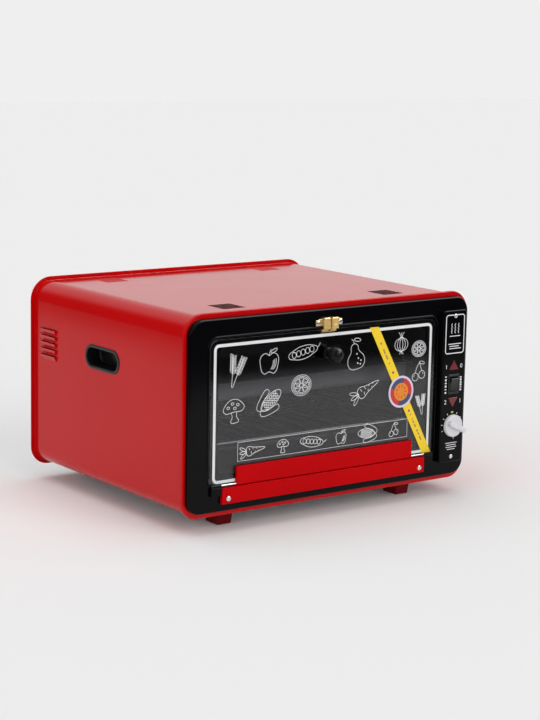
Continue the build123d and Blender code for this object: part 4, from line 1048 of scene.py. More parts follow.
@dataclass
class Casing:
    """The red wrap: bead, skin, rear lip, pressed louvres and the cups' holes."""

    skin: Outline = Outline(0, 174, 532, 292, 30, 24)
    depth: float = 430.0
    bead: float = 4.0
    lip: float = 6.5
    flange: float = 14.0
    sheet: float = 1.0
    top: float = 320.0
    span: float = 7.5
    press: float = 3.5
    count: int = 5
    lengths: Pair = (42.0, 45.0)
    pitches: Pair = (8.6, 10.3)
    field_x: float = 152.0
    field_edges: Pair = (62.0, 48.0)
    side_drop: float = 70.5
    base_half: float = 226.0
    base_edge: float = 24.0

    def profile(self) -> list[Pair]:
        """The wrap's section, once round: outside from front to back, then inside.

        Returns:
            Pairs of a place along Y and an offset.
        """
        end, bead, lip, inner = self.depth, self.bead, self.lip, -self.sheet
        points = [(0, -self.flange), (0, bead - 1.9)]
        points += arc((0, bead - 1.8), (1.8, bead), False, 5)
        points += arc((4.2, bead), (5, bead - 0.8), True)
        points += arc((5, 0.9), (5.9, 0), False)
        points += [(30, 0), (end - 24, 0)]
        points += arc((end - 3.8, 0), (end - 3, 0.8), True)
        points += arc((end - 3, lip - 0.9), (end - 2.1, lip), False)
        points += arc((end - 1.2, lip), (end, lip - 1.2), True)
        points += arc((end, 0.2), (end - 1.2, inner), False)
        points += [(end - 3, inner), (end - 3, -self.flange)]
        points += [(end - 4, -self.flange), (end - 4, inner - 0.1)]
        return points + [(end - 20, inner), (1, inner), (1, -self.flange)]

    def wedge(self, name: str, half: float, start: float, low: float, high: float) -> Piece:
        """A wedge that gets shallow towards +Y.

        Args:
            name: the piece's name.
            half: half its length.
            start: where it starts along Y.
            low: how deep it is at its slit.
            high: its upper face.

        Returns:
            The wedge.
        """
        piece = block(name, (-half, start, low), (half, self.span, high))
        with Editing(piece) as edit:
            edit.pick(lambda spot: spot.y > self.span - 0.1 and spot.z < low + 0.1)
            bpy.ops.transform.translate(value=(0, 0, self.press * MM))
        return piece

    def louvre(self, length: float) -> Piece:
        """One pressed louvre about the origin, its slit along X and its slope rising to +Y.

        Args:
            length: how long its slit is.

        Returns:
            The louvre.
        """
        half = length / 2
        piece = self.wedge("louvre", half, 0, -self.press - self.sheet, 0)
        slope = self.press / self.span
        inner = self.wedge("louvre_inside", half - self.sheet, -1, -self.press - slope, 2)
        with Editing(inner) as edit:
            edit.pick(lambda spot: spot.y > self.span - 0.1 and spot.z < 0)
            bpy.ops.transform.translate(value=(0, 0, slope * MM))
        carve(piece, [inner])
        return piece

    def places(self) -> list[tuple[int, Triple, Triple]]:
        """Each louvre: whether it is in a side wall, its slit's middle and its turn.

        Returns:
            The list, one entry a louvre.
        """
        made = []
        pitch, side_pitch = self.pitches
        front, rear = self.field_edges[0], self.depth - self.field_edges[1]
        reach = ((self.count - 1) * pitch + self.span) / 2
        for step in range(self.count):
            for x in (-self.field_x, self.field_x):
                for y, side, turn in ((front, -1, 180), (rear, 1, 0)):
                    spot = (x, y - side * (reach - step * pitch), self.top)
                    made.append((0, spot, (0, 0, turn)))
            for side in (-1, 1):
                spot = (side * WALL_X, rear, self.top - self.side_drop - step * side_pitch)
                made.append((1, spot, (-90, 0, side * 90)))
        return made

    def make(self) -> None:
        """Builds the wrap."""
        shell = Loft("casing_wrap", 10).walk(self.skin, self.profile()).close(Ends.JOINED)
        templates = [self.louvre(length) for length in self.lengths]
        cutters, pressings = [], []
        for kind, spot, turn in self.places():
            pressings.append(place(copied(templates[kind], "pressing"), *spot, turn))
            half = self.lengths[kind] / 2
            cutter = block("louvre_cut", (-half, 0, -3), (half, self.span, 3))
            cutters.append(place(cutter, *spot, turn))
        for side in (-1, 1):
            hole = Loft("cup_hole", 8).walk(slot(91, 31), [(-6, 0), (6, 0)]).close()
            cutters.append(place(hole, side * WALL_X, *CUP_SPOT, (0, 0, 90)))
        half, edge = self.base_half, self.base_edge
        cutters.append(block("base_hole", (-half, edge, 20), (half, self.depth - edge, 34)))
        carve(shell, cutters)
        for template in templates:
            bpy.data.objects.remove(template)
        settle(join([shell, *pressings]), RED_ENAMEL, Body.OVEN, ["outer_casing"])


@dataclass
class CarryCup:
    """A black grip cup in a side wall."""

    side: int
    name: str

    def make(self) -> None:
        """Builds the cup, its rim outwards."""
        profile = [(25, -5.2)] + arc((25, -4.2), (24, -3.2), False) + [(0, -3.2), (0, 0), (-0.5, 0)]
        profile += arc((-0.6, 0), (-1.5, -0.9), True) + [(-1.5, -2.2)]
        profile += arc((-1.5, -3.3), (-0.1, -4.7), False) + [(10, -4.7)]
        profile += arc((21, -4.7), (23.5, -7.2), True)
        cup = Loft(self.name, 10).walk(slot(97, 37), profile).close()
        place(cup, self.side * WALL_X, *CUP_SPOT, (0, 0, self.side * 90))
        settle(cup, BLACK_PLASTIC, Body.OVEN, [self.name.replace("grip", "carry")])


@dataclass
class Feet:
    """Four tapered feet with a screw recess in each sole."""

    across: float = 172.0
    rows: Pair = (46.0, 380.0)
    height: float = 27.0
    outline: Outline = Outline(0, 0, 32, 40, 6, 6)
    taper: float = 8.0

    def foot(self) -> Piece:
        """Builds one foot about the origin, with its sole towards -Y.

        Returns:
            The foot.
        """
        lean = math.tan(math.radians(self.taper))
        end, rounding = self.height, self.height - 1.8
        profile = [(0, -1.0)] + arc((0, -0.5), (-0.5, -0.06), False) + [(-8, -8 * lean), (-16, -16 * lean)]
        profile += arc((-rounding, -rounding * lean), (-end, -end * lean - 1.6), True)
        foot = Loft("sole", 6).walk(self.outline, profile).close()
        carve(foot, [turned("sole_well", 0, 0, [(-28, 0), (-28, 5.2), (-19, 5.2), (-19, 0)], 32)])
        return foot

    def make(self) -> None:
        """Copies one foot to each corner."""
        template = self.foot()
        for row, y in zip(("front", "rear"), self.rows):
            for side, x in (("left", -self.across), ("right", self.across)):
                foot = place(copied(template, f"sole_{row}_{side}"), x, y, self.height, (90, 0, 0))
                # The feet's finish carries painted shade for their place under the oven.
                settle(foot, RED_PLASTIC_WITH_PAINTED_SHADE, Body.OVEN, [f"foot_{row}_{side}"])
        bpy.data.objects.remove(template)


@dataclass
class Front:
    """The black pressed panel with the door's recess, its ridge and the chamber's mouth."""

    pan: Outline = Outline(0, 174, 528, 284, 24, 22)
    recess: Outline = Outline(-15, 178.1, 430, 218.8, 14.5, 14.5)
    mouth: Outline = Outline(-15, 179, 392, 186, 10, 10)
    face: float = PANEL_FACE
    floor: float = -3.5
    sheet: float = 1.2
    ridge: float = 1.8

    def make(self) -> None:
        """Builds the panel in one run from its edge to the mouth and back inside."""
        face, floor, sheet = self.face, self.floor, self.sheet
        loft = Loft("front_pan", 8)
        loft.walk(self.pan, [(-SINK, 0)] + arc((face + 3, 0), (face, -3), True, 6))
        crest, inside = face - self.ridge, floor + 2.6
        loft.walk(self.recess, [(face, 3.3), (face - 0.5, 2.9)])
        loft.walk(self.recess, arc((face - 0.9, 2.7), (crest, 1.9), True))
        loft.walk(self.recess, arc((crest, 1.0), (crest + 1.0, 0), False))
        loft.walk(self.recess, [(floor - 0.6, 0), (floor, -0.6)])
        loft.walk(self.mouth, arc((floor, 0.8), (floor + 0.8, 0), False) + [(inside, 0), (inside, 1.0)])
        loft.walk(self.recess, [(floor + sheet, -4), (floor + sheet, sheet), (face + sheet, sheet)])
        loft.walk(self.pan, [(face + sheet, -3.4), (face + 3.4, -sheet), (-SINK, -sheet)])
        settle(loft.close(Ends.JOINED), BLACK_ENAMEL, Body.OVEN, ["front_panel"])


@dataclass
class Door:
    """The drop-down door: its pane, printed border, clamp strip, knob and strike clip."""

    pane: Outline = Outline(-15, 177.75, 425, 214.5, 12, 12)
    border: Outline = Outline(-16.3, 176.7, 412.3, 204.6, 9, 9)
    front: float = PANEL_FACE
    back: float = -4.5
    border_width: float = 4.6
    strip_ends: Pair = (-182.0, 152.0)
    knob_spot: Pair = (-15.0, 249.0)
    ball: float = 12.5
    ball_y: float = -26.0
    neck: float = 6.7
    strike_ends: Pair = (-28.3, -1.7)
    tongue: Pair = (-15.7, -14.3)
    band_half: float = 7.75
    band_reach: float = 125.0
    band_limits: Pair = (281.0, 71.5)
    disc: float = 25.0

    def glass(self) -> None:
        """Builds the pane with its polished edges."""
        profile = arc((self.back, -0.5), (self.back - 0.5, 0), False, 2)
        profile += arc((self.front + 0.5, 0), (self.front, -0.5), True, 2)
        pane = Loft("door_pane", 8).walk(self.pane, profile).close()
        settle(pane, TINTED_GLASS, Body.DOOR, ["door_glass"])

    def strip(self) -> None:
        """Builds the red clamp strip and its rolled edge round the rod."""
        left, right = self.strip_ends
        face = block("clamp_face", (left, -13.5, 72.6), (right, SEAT, 97.4), 0.8)
        roll = crossbar("clamp_roll", left, right, *ROD, 2.38)
        settle(join([face, roll]), RED_STRIP, Body.DOOR, ["clamp_strip"])

    def knob(self) -> None:
        """Builds the round pull on its neck and foot."""
        profile = [(-9.32, 0), (-9.32, 8.6)] + arc((-9.6, 9.0), (-11.1, 7.6), True)
        profile += arc((-11.2, 7.3), (-12.4, 6.5), False) + [(-14.6, 6.4)]
        first = math.asin(self.neck / self.ball)
        for step in range(1, 19):
            turn = first + (math.pi - first) * step / 18
            radius = max(self.ball * math.sin(turn), 0)
            profile.append((self.ball_y + self.ball * math.cos(turn), radius))
        knob = turned("pull_ball", *self.knob_spot, profile, 64)
        settle(knob, BALL_PLASTIC, Body.DOOR, ["door_knob"], 50)

    def strike(self) -> None:
        """Builds the brass clip over the pane's edge, with its tongue."""
        (left, right), (start, end) = self.strike_ends, self.tongue
        parts = [
            block("strike", (left, -9.5, 282.0), (right, SEAT, 285.9), 0.25),
            block("strike_top", (left, -9.3, 285.02), (right, -3.9, 285.9), 0.2),
            block("strike_back", (left, -4.48, 277.0), (right, -3.9, 285.8), 0.2),
            block("tongue", (start, -13.5, 282.0), (end, -8.9, 285.9), 0.2),
            block("tongue_tip", (start, -13.5, 282.5), (end, -10.7, 295.9), 0.5),
        ]
        settle(join(parts), BRASS_SHEET, Body.DOOR, ["strike_clip"])

    def band(self) -> None:
        """Builds the slanting paper band and the disc at its middle."""
        (x, z), half, reach = BAND_CENTRE, self.band_half, self.band_reach
        under, proud = self.front - 0.005, self.front - 0.3
        band = block("band", (-half, proud, -reach), (half, under, reach))
        place(band, x, 0, z, (0, -BAND_LEAN, 0))
        with Editing(band):
            for limit, up in zip(self.band_limits, (1, -1)):
                bpy.ops.mesh.select_all(action="SELECT")
                bpy.ops.mesh.bisect(
                    plane_co=at(0, 0, limit), plane_no=(0, 0, up), clear_outer=True, use_fill=True
                )
        settle(band, BAND_PAPER, Body.DOOR, ["paper_band"])
        rim, top = proud - 0.06, proud - 0.12
        profile = [(under, 0), (under, self.disc), (rim, self.disc), (top, self.disc - 0.2), (top, 0)]
        settle(turned("band_seal", x, z, profile, 72), DISC_PAPER, Body.DOOR, ["band_disc"])

    def make(self) -> None:
        """Builds the door's pieces."""
        self.glass()
        settle(printed("pane_border", self.border, self.border_width, self.front), WHITE_INK, Body.DOOR)
        self.strip()
        self.knob()
        self.strike()
        self.band()


def swung(across: float, up: float, lean: float) -> Pair:
    """A point turned to the left about the origin, by degrees."""
    tilt = math.radians(lean)
    return across * math.cos(tilt) - up * math.sin(tilt), across * math.sin(tilt) + up * math.cos(tilt)


def oval(x: float, z: float, wide: float, high: float, lean: float = 0.0) -> Stroke:
    """A closed oval stroke.

    Args:
        x: its middle, across.
        z: its middle, in height.
        wide: half its width.
        high: half its height.
        lean: degrees that it leans to the left.

    Returns:
        The stroke.
    """
    points = []
    for step in range(8):
        turn = math.pi / 4 * step
        across, up = swung(wide * math.cos(turn), high * math.sin(turn), lean)
        points.append((x + across, z + up))
    return True, points


class Motif(Enum):
    """Garden produce, drawn within one unit each way."""

    APPLE = "apple"
    PEAR = "pear"
    CARROT = "carrot"
    MUSHROOM = "mushroom"
    WHEAT = "wheat"
    POD = "pod"
    CORN = "corn"
    SLICE = "slice"
    CHERRIES = "cherries"
    ONION = "onion"

    def strokes(self) -> list[Stroke]:
        """The motif's strokes."""
        return getattr(self, self.value)()

    def apple(self) -> list[Stroke]:
        """An apple with a leaf and a shaded side.

        Returns:
            Its strokes.
        """
        body = [(0, 0.56), (0.34, 0.72), (0.78, 0.46), (0.8, -0.12), (0.46, -0.78), (0, -0.66)]
        whole = body + [(-x, z) for x, z in reversed(body[1:-1])]
        shade = [
            (False, [(0.62 - k * 0.13, 0.3 - k * 0.06), (0.6 - k * 0.13, -0.15), (0.38 - k * 0.12, -0.5)])
            for k in range(3)
        ]
        stalk = (False, [(0, 0.52), (0.04, 0.8), (0.16, 1.0)])
        return [(True, whole), stalk, oval(0.42, 0.88, 0.3, 0.11, 24), *shade]

    def pear(self) -> list[Stroke]:
        """A pear with speckles.

        Returns:
            Its strokes.
        """
        half = [(0, 0.78), (0.24, 0.66), (0.32, 0.3), (0.66, -0.18), (0.56, -0.7), (0, -0.86)]
        whole = half + [(-x, z) for x, z in reversed(half[1:-1])]
        spots = ((0.2, -0.2), (0.38, -0.38), (0.1, -0.5), (0.3, -0.6), (0.12, 0.1))
        stalk = (False, [(0, 0.76), (-0.04, 1.0), (-0.16, 1.12)])
        leaf = oval(0.3, 0.98, 0.26, 0.1, -18)
        return [(True, whole), stalk, leaf, *(oval(x, z, 0.035, 0.035) for x, z in spots)]

    def carrot(self) -> list[Stroke]:
        """A carrot lying on its side, with its leaves to the left.

        Returns:
            Its strokes.
        """
        body = [(-0.5, 0.3), (-0.58, 0.0), (-0.5, -0.3), (0.1, -0.2), (1.0, -0.02), (1.0, 0.02), (0.1, 0.2)]
        rings = [
            (False, [(x, side * (0.24 - 0.16 * (x + 0.4))), (x + 0.05, end)])
            for side, end, row in ((1, 0.06, (-0.34, -0.04, 0.26, 0.56)), (-1, -0.04, (-0.2, 0.12, 0.42)))
            for x in row
        ]
        leaves = [oval(-0.86, z, 0.3, 0.09, turn) for z, turn in ((0.22, -34), (0.0, 0), (-0.22, 34))]
        return [(True, body), *rings, *leaves]

    def mushroom(self) -> list[Stroke]:
        """A mushroom with spots and gills.

        Returns:
            Its strokes.
        """
        cap = [(-0.9, 0.02), (-0.7, 0.5), (0, 0.82), (0.7, 0.5), (0.9, 0.02), (0, -0.12)]
        side = [(-0.24, -0.12), (-0.2, -0.5), (-0.34, -0.86)]
        stem = side + [(0, -0.94)] + [(-x, z) for x, z in reversed(side)]
        spots = ((-0.48, 0.26), (-0.08, 0.5), (0.38, 0.36), (0.1, 0.14))
        return [(True, cap), (False, stem), *(oval(x, z, 0.12, 0.09) for x, z in spots)]

    def wheat(self) -> list[Stroke]:
        """Two ears of wheat.

        Returns:
            Its strokes.
        """
        made: list[Stroke] = []
        for side in (-1, 1):
            made.append((False, [(side * 0.04, -1.0), (side * 0.16, -0.3), (side * 0.42, 0.9)]))
            for step in range(6):
                z = -0.1 + step * 0.17
                x = side * (0.2 + step * 0.038)
                made += [oval(x - 0.11, z + 0.05, 0.13, 0.055, 128), oval(x + 0.12, z, 0.13, 0.055, 52)]
        return made

    def pod(self) -> list[Stroke]:
        """A pea pod, open along its side.

        Returns:
            Its strokes.
        """
        upper = [(-1.0, 0.02), (-0.5, 0.3), (0.1, 0.36), (0.7, 0.22)]
        rim = upper + [(1.0, -0.02), (0.6, -0.26), (0, -0.36), (-0.6, -0.24)]
        peas = [oval(-0.62 + step * 0.31, 0.02, 0.14, 0.17) for step in range(5)]
        return [(True, rim), *peas, (False, [(1.0, 0), (1.12, 0.06), (1.25, 0.2)])]

    def corn(self) -> list[Stroke]:
        """A cob of corn in its leaves.

        Returns:
            Its strokes.
        """
        half = [(0, 0.95), (0.26, 0.66), (0.34, 0.1), (0.24, -0.5), (0, -0.7)]
        cob = half + [(-x, z) for x, z in reversed(half[1:-1])]
        spots = [(column * 0.19, row * 0.19 - 0.36) for row in range(6) for column in (-1, 0, 1)]
        grains = [oval(x, z, 0.08, 0.075) for x, z in spots]
        leaf = [(0.1, -0.9), (0.62, -0.3), (0.6, 0.36), (0.34, -0.2)]
        leaves = [(True, [(side * x, z) for x, z in leaf]) for side in (-1, 1)]
        return [(True, cob), *grains, *leaves]

    def slice(self) -> list[Stroke]:
        """A cut lemon.

        Returns:
            Its strokes.
        """
        made = [oval(0, 0, 0.95, 0.82), oval(0, 0, 0.82, 0.69)]
        for step in range(8):
            turn = math.pi / 4 * step
            x, z = math.cos(turn), math.sin(turn)
            near, side = (0.16 * x, 0.14 * z), 0.3
            far = [(0.7 * math.cos(turn + k), 0.58 * math.sin(turn + k)) for k in (-side, 0, side)]
            made.append((True, [near, *far]))
        return made

    def cherries(self) -> list[Stroke]:
        """Two cherries on their stalks.

        Returns:
            Its strokes.
        """
        made: list[Stroke] = []
        for side, low in ((-1, -0.5), (1, -0.32)):
            made.append(oval(side * 0.42, low, 0.38, 0.38))
            made.append((False, [(side * 0.52, low + 0.2), (side * 0.6, low)]))
            made.append((False, [(side * 0.42, low + 0.36), (side * 0.26, 0.4), (0.08, 0.92)]))
        return [*made, oval(0.4, 0.86, 0.32, 0.13, -16)]

    def onion(self) -> list[Stroke]:
        """An onion with its rings.

        Returns:
            Its strokes.
        """
        made: list[Stroke] = []
        for share in (1.0, -1.0, 0.6, -0.6, 0.22, -0.22):
            x = 0.72 * share
            made.append((False, [(0.06 * share, 0.66), (x, 0.2), (x * 0.9, -0.36), (0, -0.68)]))
        made += [(False, [(x * 0.3, 0.64), (x * 0.4, 0.86), (x, 1.1)]) for x in (-0.34, 0.02, 0.32)]
        return made + [(False, [(x * 0.3, -0.68), (x, -0.9)]) for x in (-0.2, 0.04, 0.26)]


@dataclass
class Sketches:
    """White line drawings of garden produce, printed on the pane."""

    line: float = 0.42
    plane: float = PANEL_FACE - 0.03
    frame: tuple[float, float, float, float] = (-178, 145, 103.5, 131.5)
    spots: tuple[tuple[Motif, float, float, float, float], ...] = (
        (Motif.WHEAT, -184, 238, 25, -14),
        (Motif.APPLE, -124, 244, 20, 0),
        (Motif.POD, -62, 254, 27, 12),
        (Motif.MUSHROOM, -186, 180, 20, 6),
        (Motif.CORN, -122, 186, 26, -52),
        (Motif.SLICE, -64, 205, 19, 0),
        (Motif.PEAR, 38, 240, 24, 10),
        (Motif.CARROT, 60, 186, 27, 26),
        (Motif.ONION, 128, 250, 17, 0),
        (Motif.SLICE, 164, 240, 15, 0),
        (Motif.CHERRIES, 165, 204, 16, 0),
        (Motif.WHEAT, 172, 152, 17, 8),
        (Motif.CARROT, -150, 117, 21, 6),
        (Motif.MUSHROOM, -96, 117.5, 11.5, 0),
        (Motif.POD, -42, 117, 22, -8),
        (Motif.APPLE, 14, 116.5, 11.5, 0),
        (Motif.CORN, 66, 117.5, 20, 84),
        (Motif.CHERRIES, 118, 117, 11.5, 0),
    )

    def draw(self, closed: bool, points: Sequence[Pair], corner: str = "AUTO") -> Piece:
        """Draws one stroke.

        Args:
            closed: whether its end meets its start.
            points: its points, across and in height.
            corner: the kind of its points' handles.

        Returns:
            The stroke as a curve.
        """
        curves = bpy.ops.curve
        add = curves.primitive_bezier_circle_add if closed else curves.primitive_bezier_curve_add
        add(radius=MM, location=(0, 0, 0))
        stroke = bpy.context.object
        line = stroke.data.splines[0]
        while len(line.bezier_points) > len(points):
            points = [*points, points[-1]]
        line.bezier_points.add(len(points) - len(line.bezier_points))
        for knot, (x, z) in zip(line.bezier_points, points):
            knot.co = at(x, self.plane, z)
            knot.handle_left_type = knot.handle_right_type = corner
        stroke.data.bevel_depth = self.line * MM
        stroke.data.bevel_resolution = 0
        stroke.data.resolution_u = 5
        return stroke

    def make(self) -> None:
        """Draws all motifs, turns them into flat ink and settles them."""
        x0, x1, z0, z1 = self.frame
        strokes = [self.draw(True, [(x0, z0), (x1, z0), (x1, z1), (x0, z1)], "VECTOR")]
        for motif, x, z, size, lean in self.spots:
            for closed, points in motif.strokes():
                turned_points = [swung(size * across, size * up, lean) for across, up in points]
                strokes.append(self.draw(closed, [(x + across, z + up) for across, up in turned_points]))
        bpy.ops.object.select_all(action="DESELECT")
        for stroke in strokes:
            stroke.select_set(True)
        bpy.context.view_layer.objects.active = strokes[0]
        bpy.ops.object.convert(target="MESH")
        ink = join(strokes)
        ink.name = "pane_sketches"
        with Editing(ink):
            bpy.ops.transform.resize(value=(1, 0.2, 1), center_override=at(0, self.plane, 0))
        settle(ink, WHITE_INK, Body.DOOR)


@dataclass
class Hinge:
    """The cover strip below the door, the brackets and the rod's eyes."""

    ends: Pair = (-208.0, 178.0)
    bracket: float = 18.0
    gap: float = 0.5

    def make(self) -> None:
        """Builds the pieces that the door hangs on."""
        left, right = self.ends
        cover = block("cover_strip", (left, -14.5, 43.9), (right, SEAT, 68.6), 0.9)
        settle(cover, RED_STRIP, Body.OVEN, ["hinge_apron"])
        starts = {"left": left - self.gap - self.bracket, "right": right + self.gap}
        for name, x0 in starts.items():
            x1 = x0 + self.bracket
            plate = block(f"hinge_block_{name}", (x0, -13.5, 57), (x1, SEAT, 69.6), 1.0)
            web = block("web", (x0, -13.2, 67), (x1, -10.1, ROD[1]), 0.4)
            eye = crossbar("eye", x0, x1, *ROD, 2.2)
            settle(join([plate, web, eye]), BLACK_ENAMEL, Body.OVEN, [f"hinge_bracket_{name}"])


@dataclass
class Catch:
    """The brass double catch: its plate, two jaws and their lips."""

    x: float = -15.0
    face: float = PANEL_FACE
    ear: float = 20.3
    bottom: float = 290.8
    screw_z: float = 295.4
    jaws: tuple[Triple, ...] = ((-13.3, -1.2, 6.5), (1.2, 13.3, 7.6))

    def plate(self) -> list[Piece]:
        """Builds the plate and its two ears.

        Returns:
            Its pieces, the plate first.
        """
        x, back, front = self.x, self.face - SINK, self.face - 1
        low, high = (x - self.ear, front, self.bottom), (x + self.ear, back, 301.4)
        parts = [block("catch_plate", low, high, 0.4)]
        for ear in (x - self.ear, x + self.ear):
            parts.append(block("ear", (ear - 4.5, front, self.bottom), (ear + 4.5, back, 300.0), 0.45))
        return parts

    def jaw(self, left: float, right: float, proud: float, dished: bool) -> list[Piece]:
        """Builds a jaw with its mouth, its lip and its root.

        Args:
            left: its left side.
            right: its right side.
            proud: how far it stands out.
            dished: whether its front has a round dish.

        Returns:
            Its pieces.
        """
        face, front = self.face, self.face - proud
        jaw = block("jaw", (left, front, 286.6), (right, face - 1.9, 303.4), 1.4, 4)
        if dished:
            dish = [(face - 9, 0), (face - 9, 3.9), (face - 6.9, 3.4), (face - 6.4, 2.6), (face - 6.3, 0)]
            carve(jaw, [turned("dish", (left + right) / 2 + 0.4, self.screw_z, dish, 32)])
        carve(jaw, [block("mouth", (left + 1.2, front + 1.1, 286.0), (right - 1.2, face - 2.6, 290.2))])
        lip = block("lip", (left + 0.2, front, 286.5), (right - 0.2, front + 1.2, 288.2), 0.5)
        root = block("root", (left + 0.6, face - 2.6, 291.0), (right - 0.6, face - 0.9, 303.0), 0.3)
        return [jaw, lip, root]

    def make(self) -> None:
        """Builds the catch."""
        parts = self.plate()
        for left, right, proud in self.jaws:
            parts += self.jaw(self.x + left, self.x + right, proud, left > 0)
        settle(join(parts), BRASS_SHEET, Body.OVEN, ["catch_body"])


def screw(name: str, radius: float, height: float) -> Piece:
    """A pan-head screw's head with its slot, facing front, its seat at the origin.

    Args:
        name: the piece's name.
        radius: the head's radius.
        height: the head's height.

    Returns:
        The head.
    """
    profile = [(0.6, 0), (0.6, radius * 0.5), (0, radius * 0.55), (0, radius)]
    profile += arc((-height * 0.25, radius), (-height, radius * 0.45), True, 6) + [(-height, 0)]
    head = turned(name, 0, 0, profile, 40)
    slot_low, slot_high = (-radius - 1, -height - 1, -0.5), (radius + 1, -height * 0.5, 0.5)
    carve(head, [block("slot", slot_low, slot_high)])
    soften(head, 0.12, 1, 50)
    return head


@dataclass(frozen=True)
class Fixing:
    """A row of like screws: where they sit, which way they face and what they stand for."""

    node: str
    radius: float
    height: float
    places: tuple[Triple, ...]
    finish: Finish
    turn: Triple = (0, 0, 0)
    roll: float = 0.0

    def make(self) -> None:
        """Builds one head and copies it to each place, each slot at another angle."""
        template = screw("head", self.radius, self.height)
        heads = []
        for number, spot in enumerate(self.places):
            head = copied(template, f"{self.node}_heads")
            place(head, 0, 0, 0, (0, 25.0 + 50.0 * number + self.roll, 0))
            heads.append(place(head, *spot, self.turn))
        bpy.data.objects.remove(template)
        settle(join(heads), self.finish, Body.OVEN, [self.node])


@dataclass
class Controls:
    """The raised control box with its lamps, rocker, dial and printed marks."""

    x: float = CONTROL_X
    face: float = CONTROL_FACE
    box: Outline = Outline(CONTROL_X, 176, 47, 242, 5, 5)
    lens: Pair = (19.5, 15.5)
    lenses: tuple[tuple[str, float, int], ...] = (("upper", 203.0, 1), ("lower", 158.6, -1))
    rocker: Pair = (20.2, 28.2)
    rocker_z: float = 180.0
    dial_z: float = 114.0
    dial_seat: float = -20.6
    dial_turn: float = 25.0
    ring: float = 20.7
    ring_step: float = 28.0
    frame: Outline = Outline(CONTROL_X, 259.5, 39, 62, 5, 5)
    numbers: tuple[tuple[str, float, float], ...] = (
        ("1", -15.2, 208), ("0", 15.6, 208), ("2", -15.2, 152), ("1", 15.6, 152),
    )

    def lamp(
        self, name: str, base: float, up: int, grow: float, low: float, high: float, edge: float = 0.0
    ) -> Piece:
        """A triangular prism.

        Args:
            name: the piece's name.
            base: the height of its flat side.
            up: 1 if it points up and -1 if it points down.
            grow: how much larger it is all round.
            low: its front.
            high: its back.
            edge: how far its edges are rounded.

        Returns:
            The prism.
        """
        piece = blank(name)
        wide, tall = self.lens
        size = ((wide + 2 * grow) / math.sqrt(3), 1, up * (tall + 2 * grow) / 1.5)
        upright = (math.radians(90), 0, 0)
        with Editing(piece):
            bpy.ops.mesh.primitive_circle_add(vertices=3, radius=MM, fill_type="NGON", rotation=upright)
            bpy.ops.transform.resize(value=size, center_override=(0, 0, 0))
            bpy.ops.transform.translate(value=at(self.x, high, base + up * tall / 3))
            bpy.ops.mesh.extrude_region_move(TRANSFORM_OT_translate={"value": (0, (low - high) * MM, 0)})
            bpy.ops.mesh.select_all(action="SELECT")
            bpy.ops.mesh.normals_make_consistent(inside=False)
            if edge:
                bpy.ops.mesh.bevel(offset=edge * MM, segments=3, affect="EDGES")
        return piece

    def cover(self) -> None:
        """Builds the box and cuts its windows."""
        x, z, face = self.x, self.rocker_z, self.face
        profile = [(SEAT, -1.2), (SEAT, 0)] + arc((face + 2, 0), (face, -2), True, 6)
        cover = Loft("control_cover", 8).walk(self.box, profile).close()
        cutters = [
            self.lamp("window", base, up, 0.25, face - 1, face + 3) for _, base, up in self.lenses
        ]
        wide, tall = (size / 2 for size in self.rocker)
        cutters.append(block("switch_window", (x - wide, face - 1, z - tall), (x + wide, -9.5, z + tall)))
        carve(cover, cutters)
        settle(cover, BLACK_ENAMEL, Body.OVEN, ["control_box"])

    def lamps(self) -> None:
        """Builds the two red lenses."""
        for name, base, up in self.lenses:
            lens = self.lamp(f"lens_{name}", base, up, -0.1, self.face - 0.6, self.face + 2, 0.5)
            settle(lens, RED_LENS, Body.OVEN, [f"lamp_lens_{name}"])

    def switch(self) -> None:
        """Builds the switch's bezel and well."""
        face = self.face
        lip = face - 1.6
        profile = [(3.5, -1.6), (face, -1.6), (face, 0), (face - 1, 0)]
        profile += arc((face - 1.0, 0), (lip, -0.6), True) + [(lip, -3.0)]
        profile += arc((lip, -3.1), (face - 1.2, -3.5), False) + [(-9, -3.5)]
        outline = Outline(self.x, self.rocker_z, 23, 31, 1.5, 1.5)
        bezel = Loft("rocker_frame", 4).walk(outline, profile).close()
        settle(bezel, BLACK_PLASTIC, Body.OVEN, ["rocker_switch_body"])

    def dial(self) -> None:
        """Builds the pale dial: a disc and a grip bar that ends in a pointer."""
        seat = self.dial_seat
        disc = [(seat, 0), (seat, 17.4), (seat - 0.4, 17.8)]
        disc += arc((seat - 4.0, 17.6), (seat - 5.6, 16.0), True)
        knob = turned("dial_disc", 0, 0, disc + [(seat - 5.6, 0)], 72)
        grip = Loft("dial_grip", 10)
        outline = Outline(2.35, 0, 37.3, 9.5, 4.74, 4.74)
        grip.walk(outline, [(seat - 1.2, 0), (seat - 5, 0), (seat - 9, -0.25)])
        grip.walk(outline, arc((seat - 11.6, -0.4), (seat - 14.1, -2.6), True, 5))
        dial = place(join([knob, grip.close()]), self.x, 0, self.dial_z, (0, self.dial_turn, 0))
        settle(dial, PALE_PLASTIC, Body.DIAL, ["thermostat_knob"])

    def mark(self, x: float, z: float, wide: float, high: float, lean: float = 0.0) -> Piece:
        """A small printed bar.

        Args:
            x: its middle, across.
            z: its middle, in height.
            wide: its width.
            high: its height.
            lean: degrees that it leans.

        Returns:
            The bar.
        """
        bar = block("mark", (-wide / 2, -0.07, -high / 2), (wide / 2, SINK, high / 2))
        return place(bar, x, self.face, z, (0, lean, 0))

    def words(self, text: str, x: float, z: float, size: float) -> Piece:
        """Plain numbers or letters, printed.

        Args:
            text: what they say.
            x: their middle, across.
            z: their middle, in height.
            size: their height.

        Returns:
            The lettering as a mesh.
        """
        bpy.ops.object.text_add()
        words = bpy.context.object
        words.data.body = text
        words.data.size = size * MM * 1.4
        words.data.align_x = "CENTER"
        words.data.align_y = "CENTER"
        words.data.extrude = 0.04 * MM
        words.data.resolution_u = 3
        bpy.ops.object.convert(target="MESH")
        return place(words, x, self.face, z, (90, 0, 0))

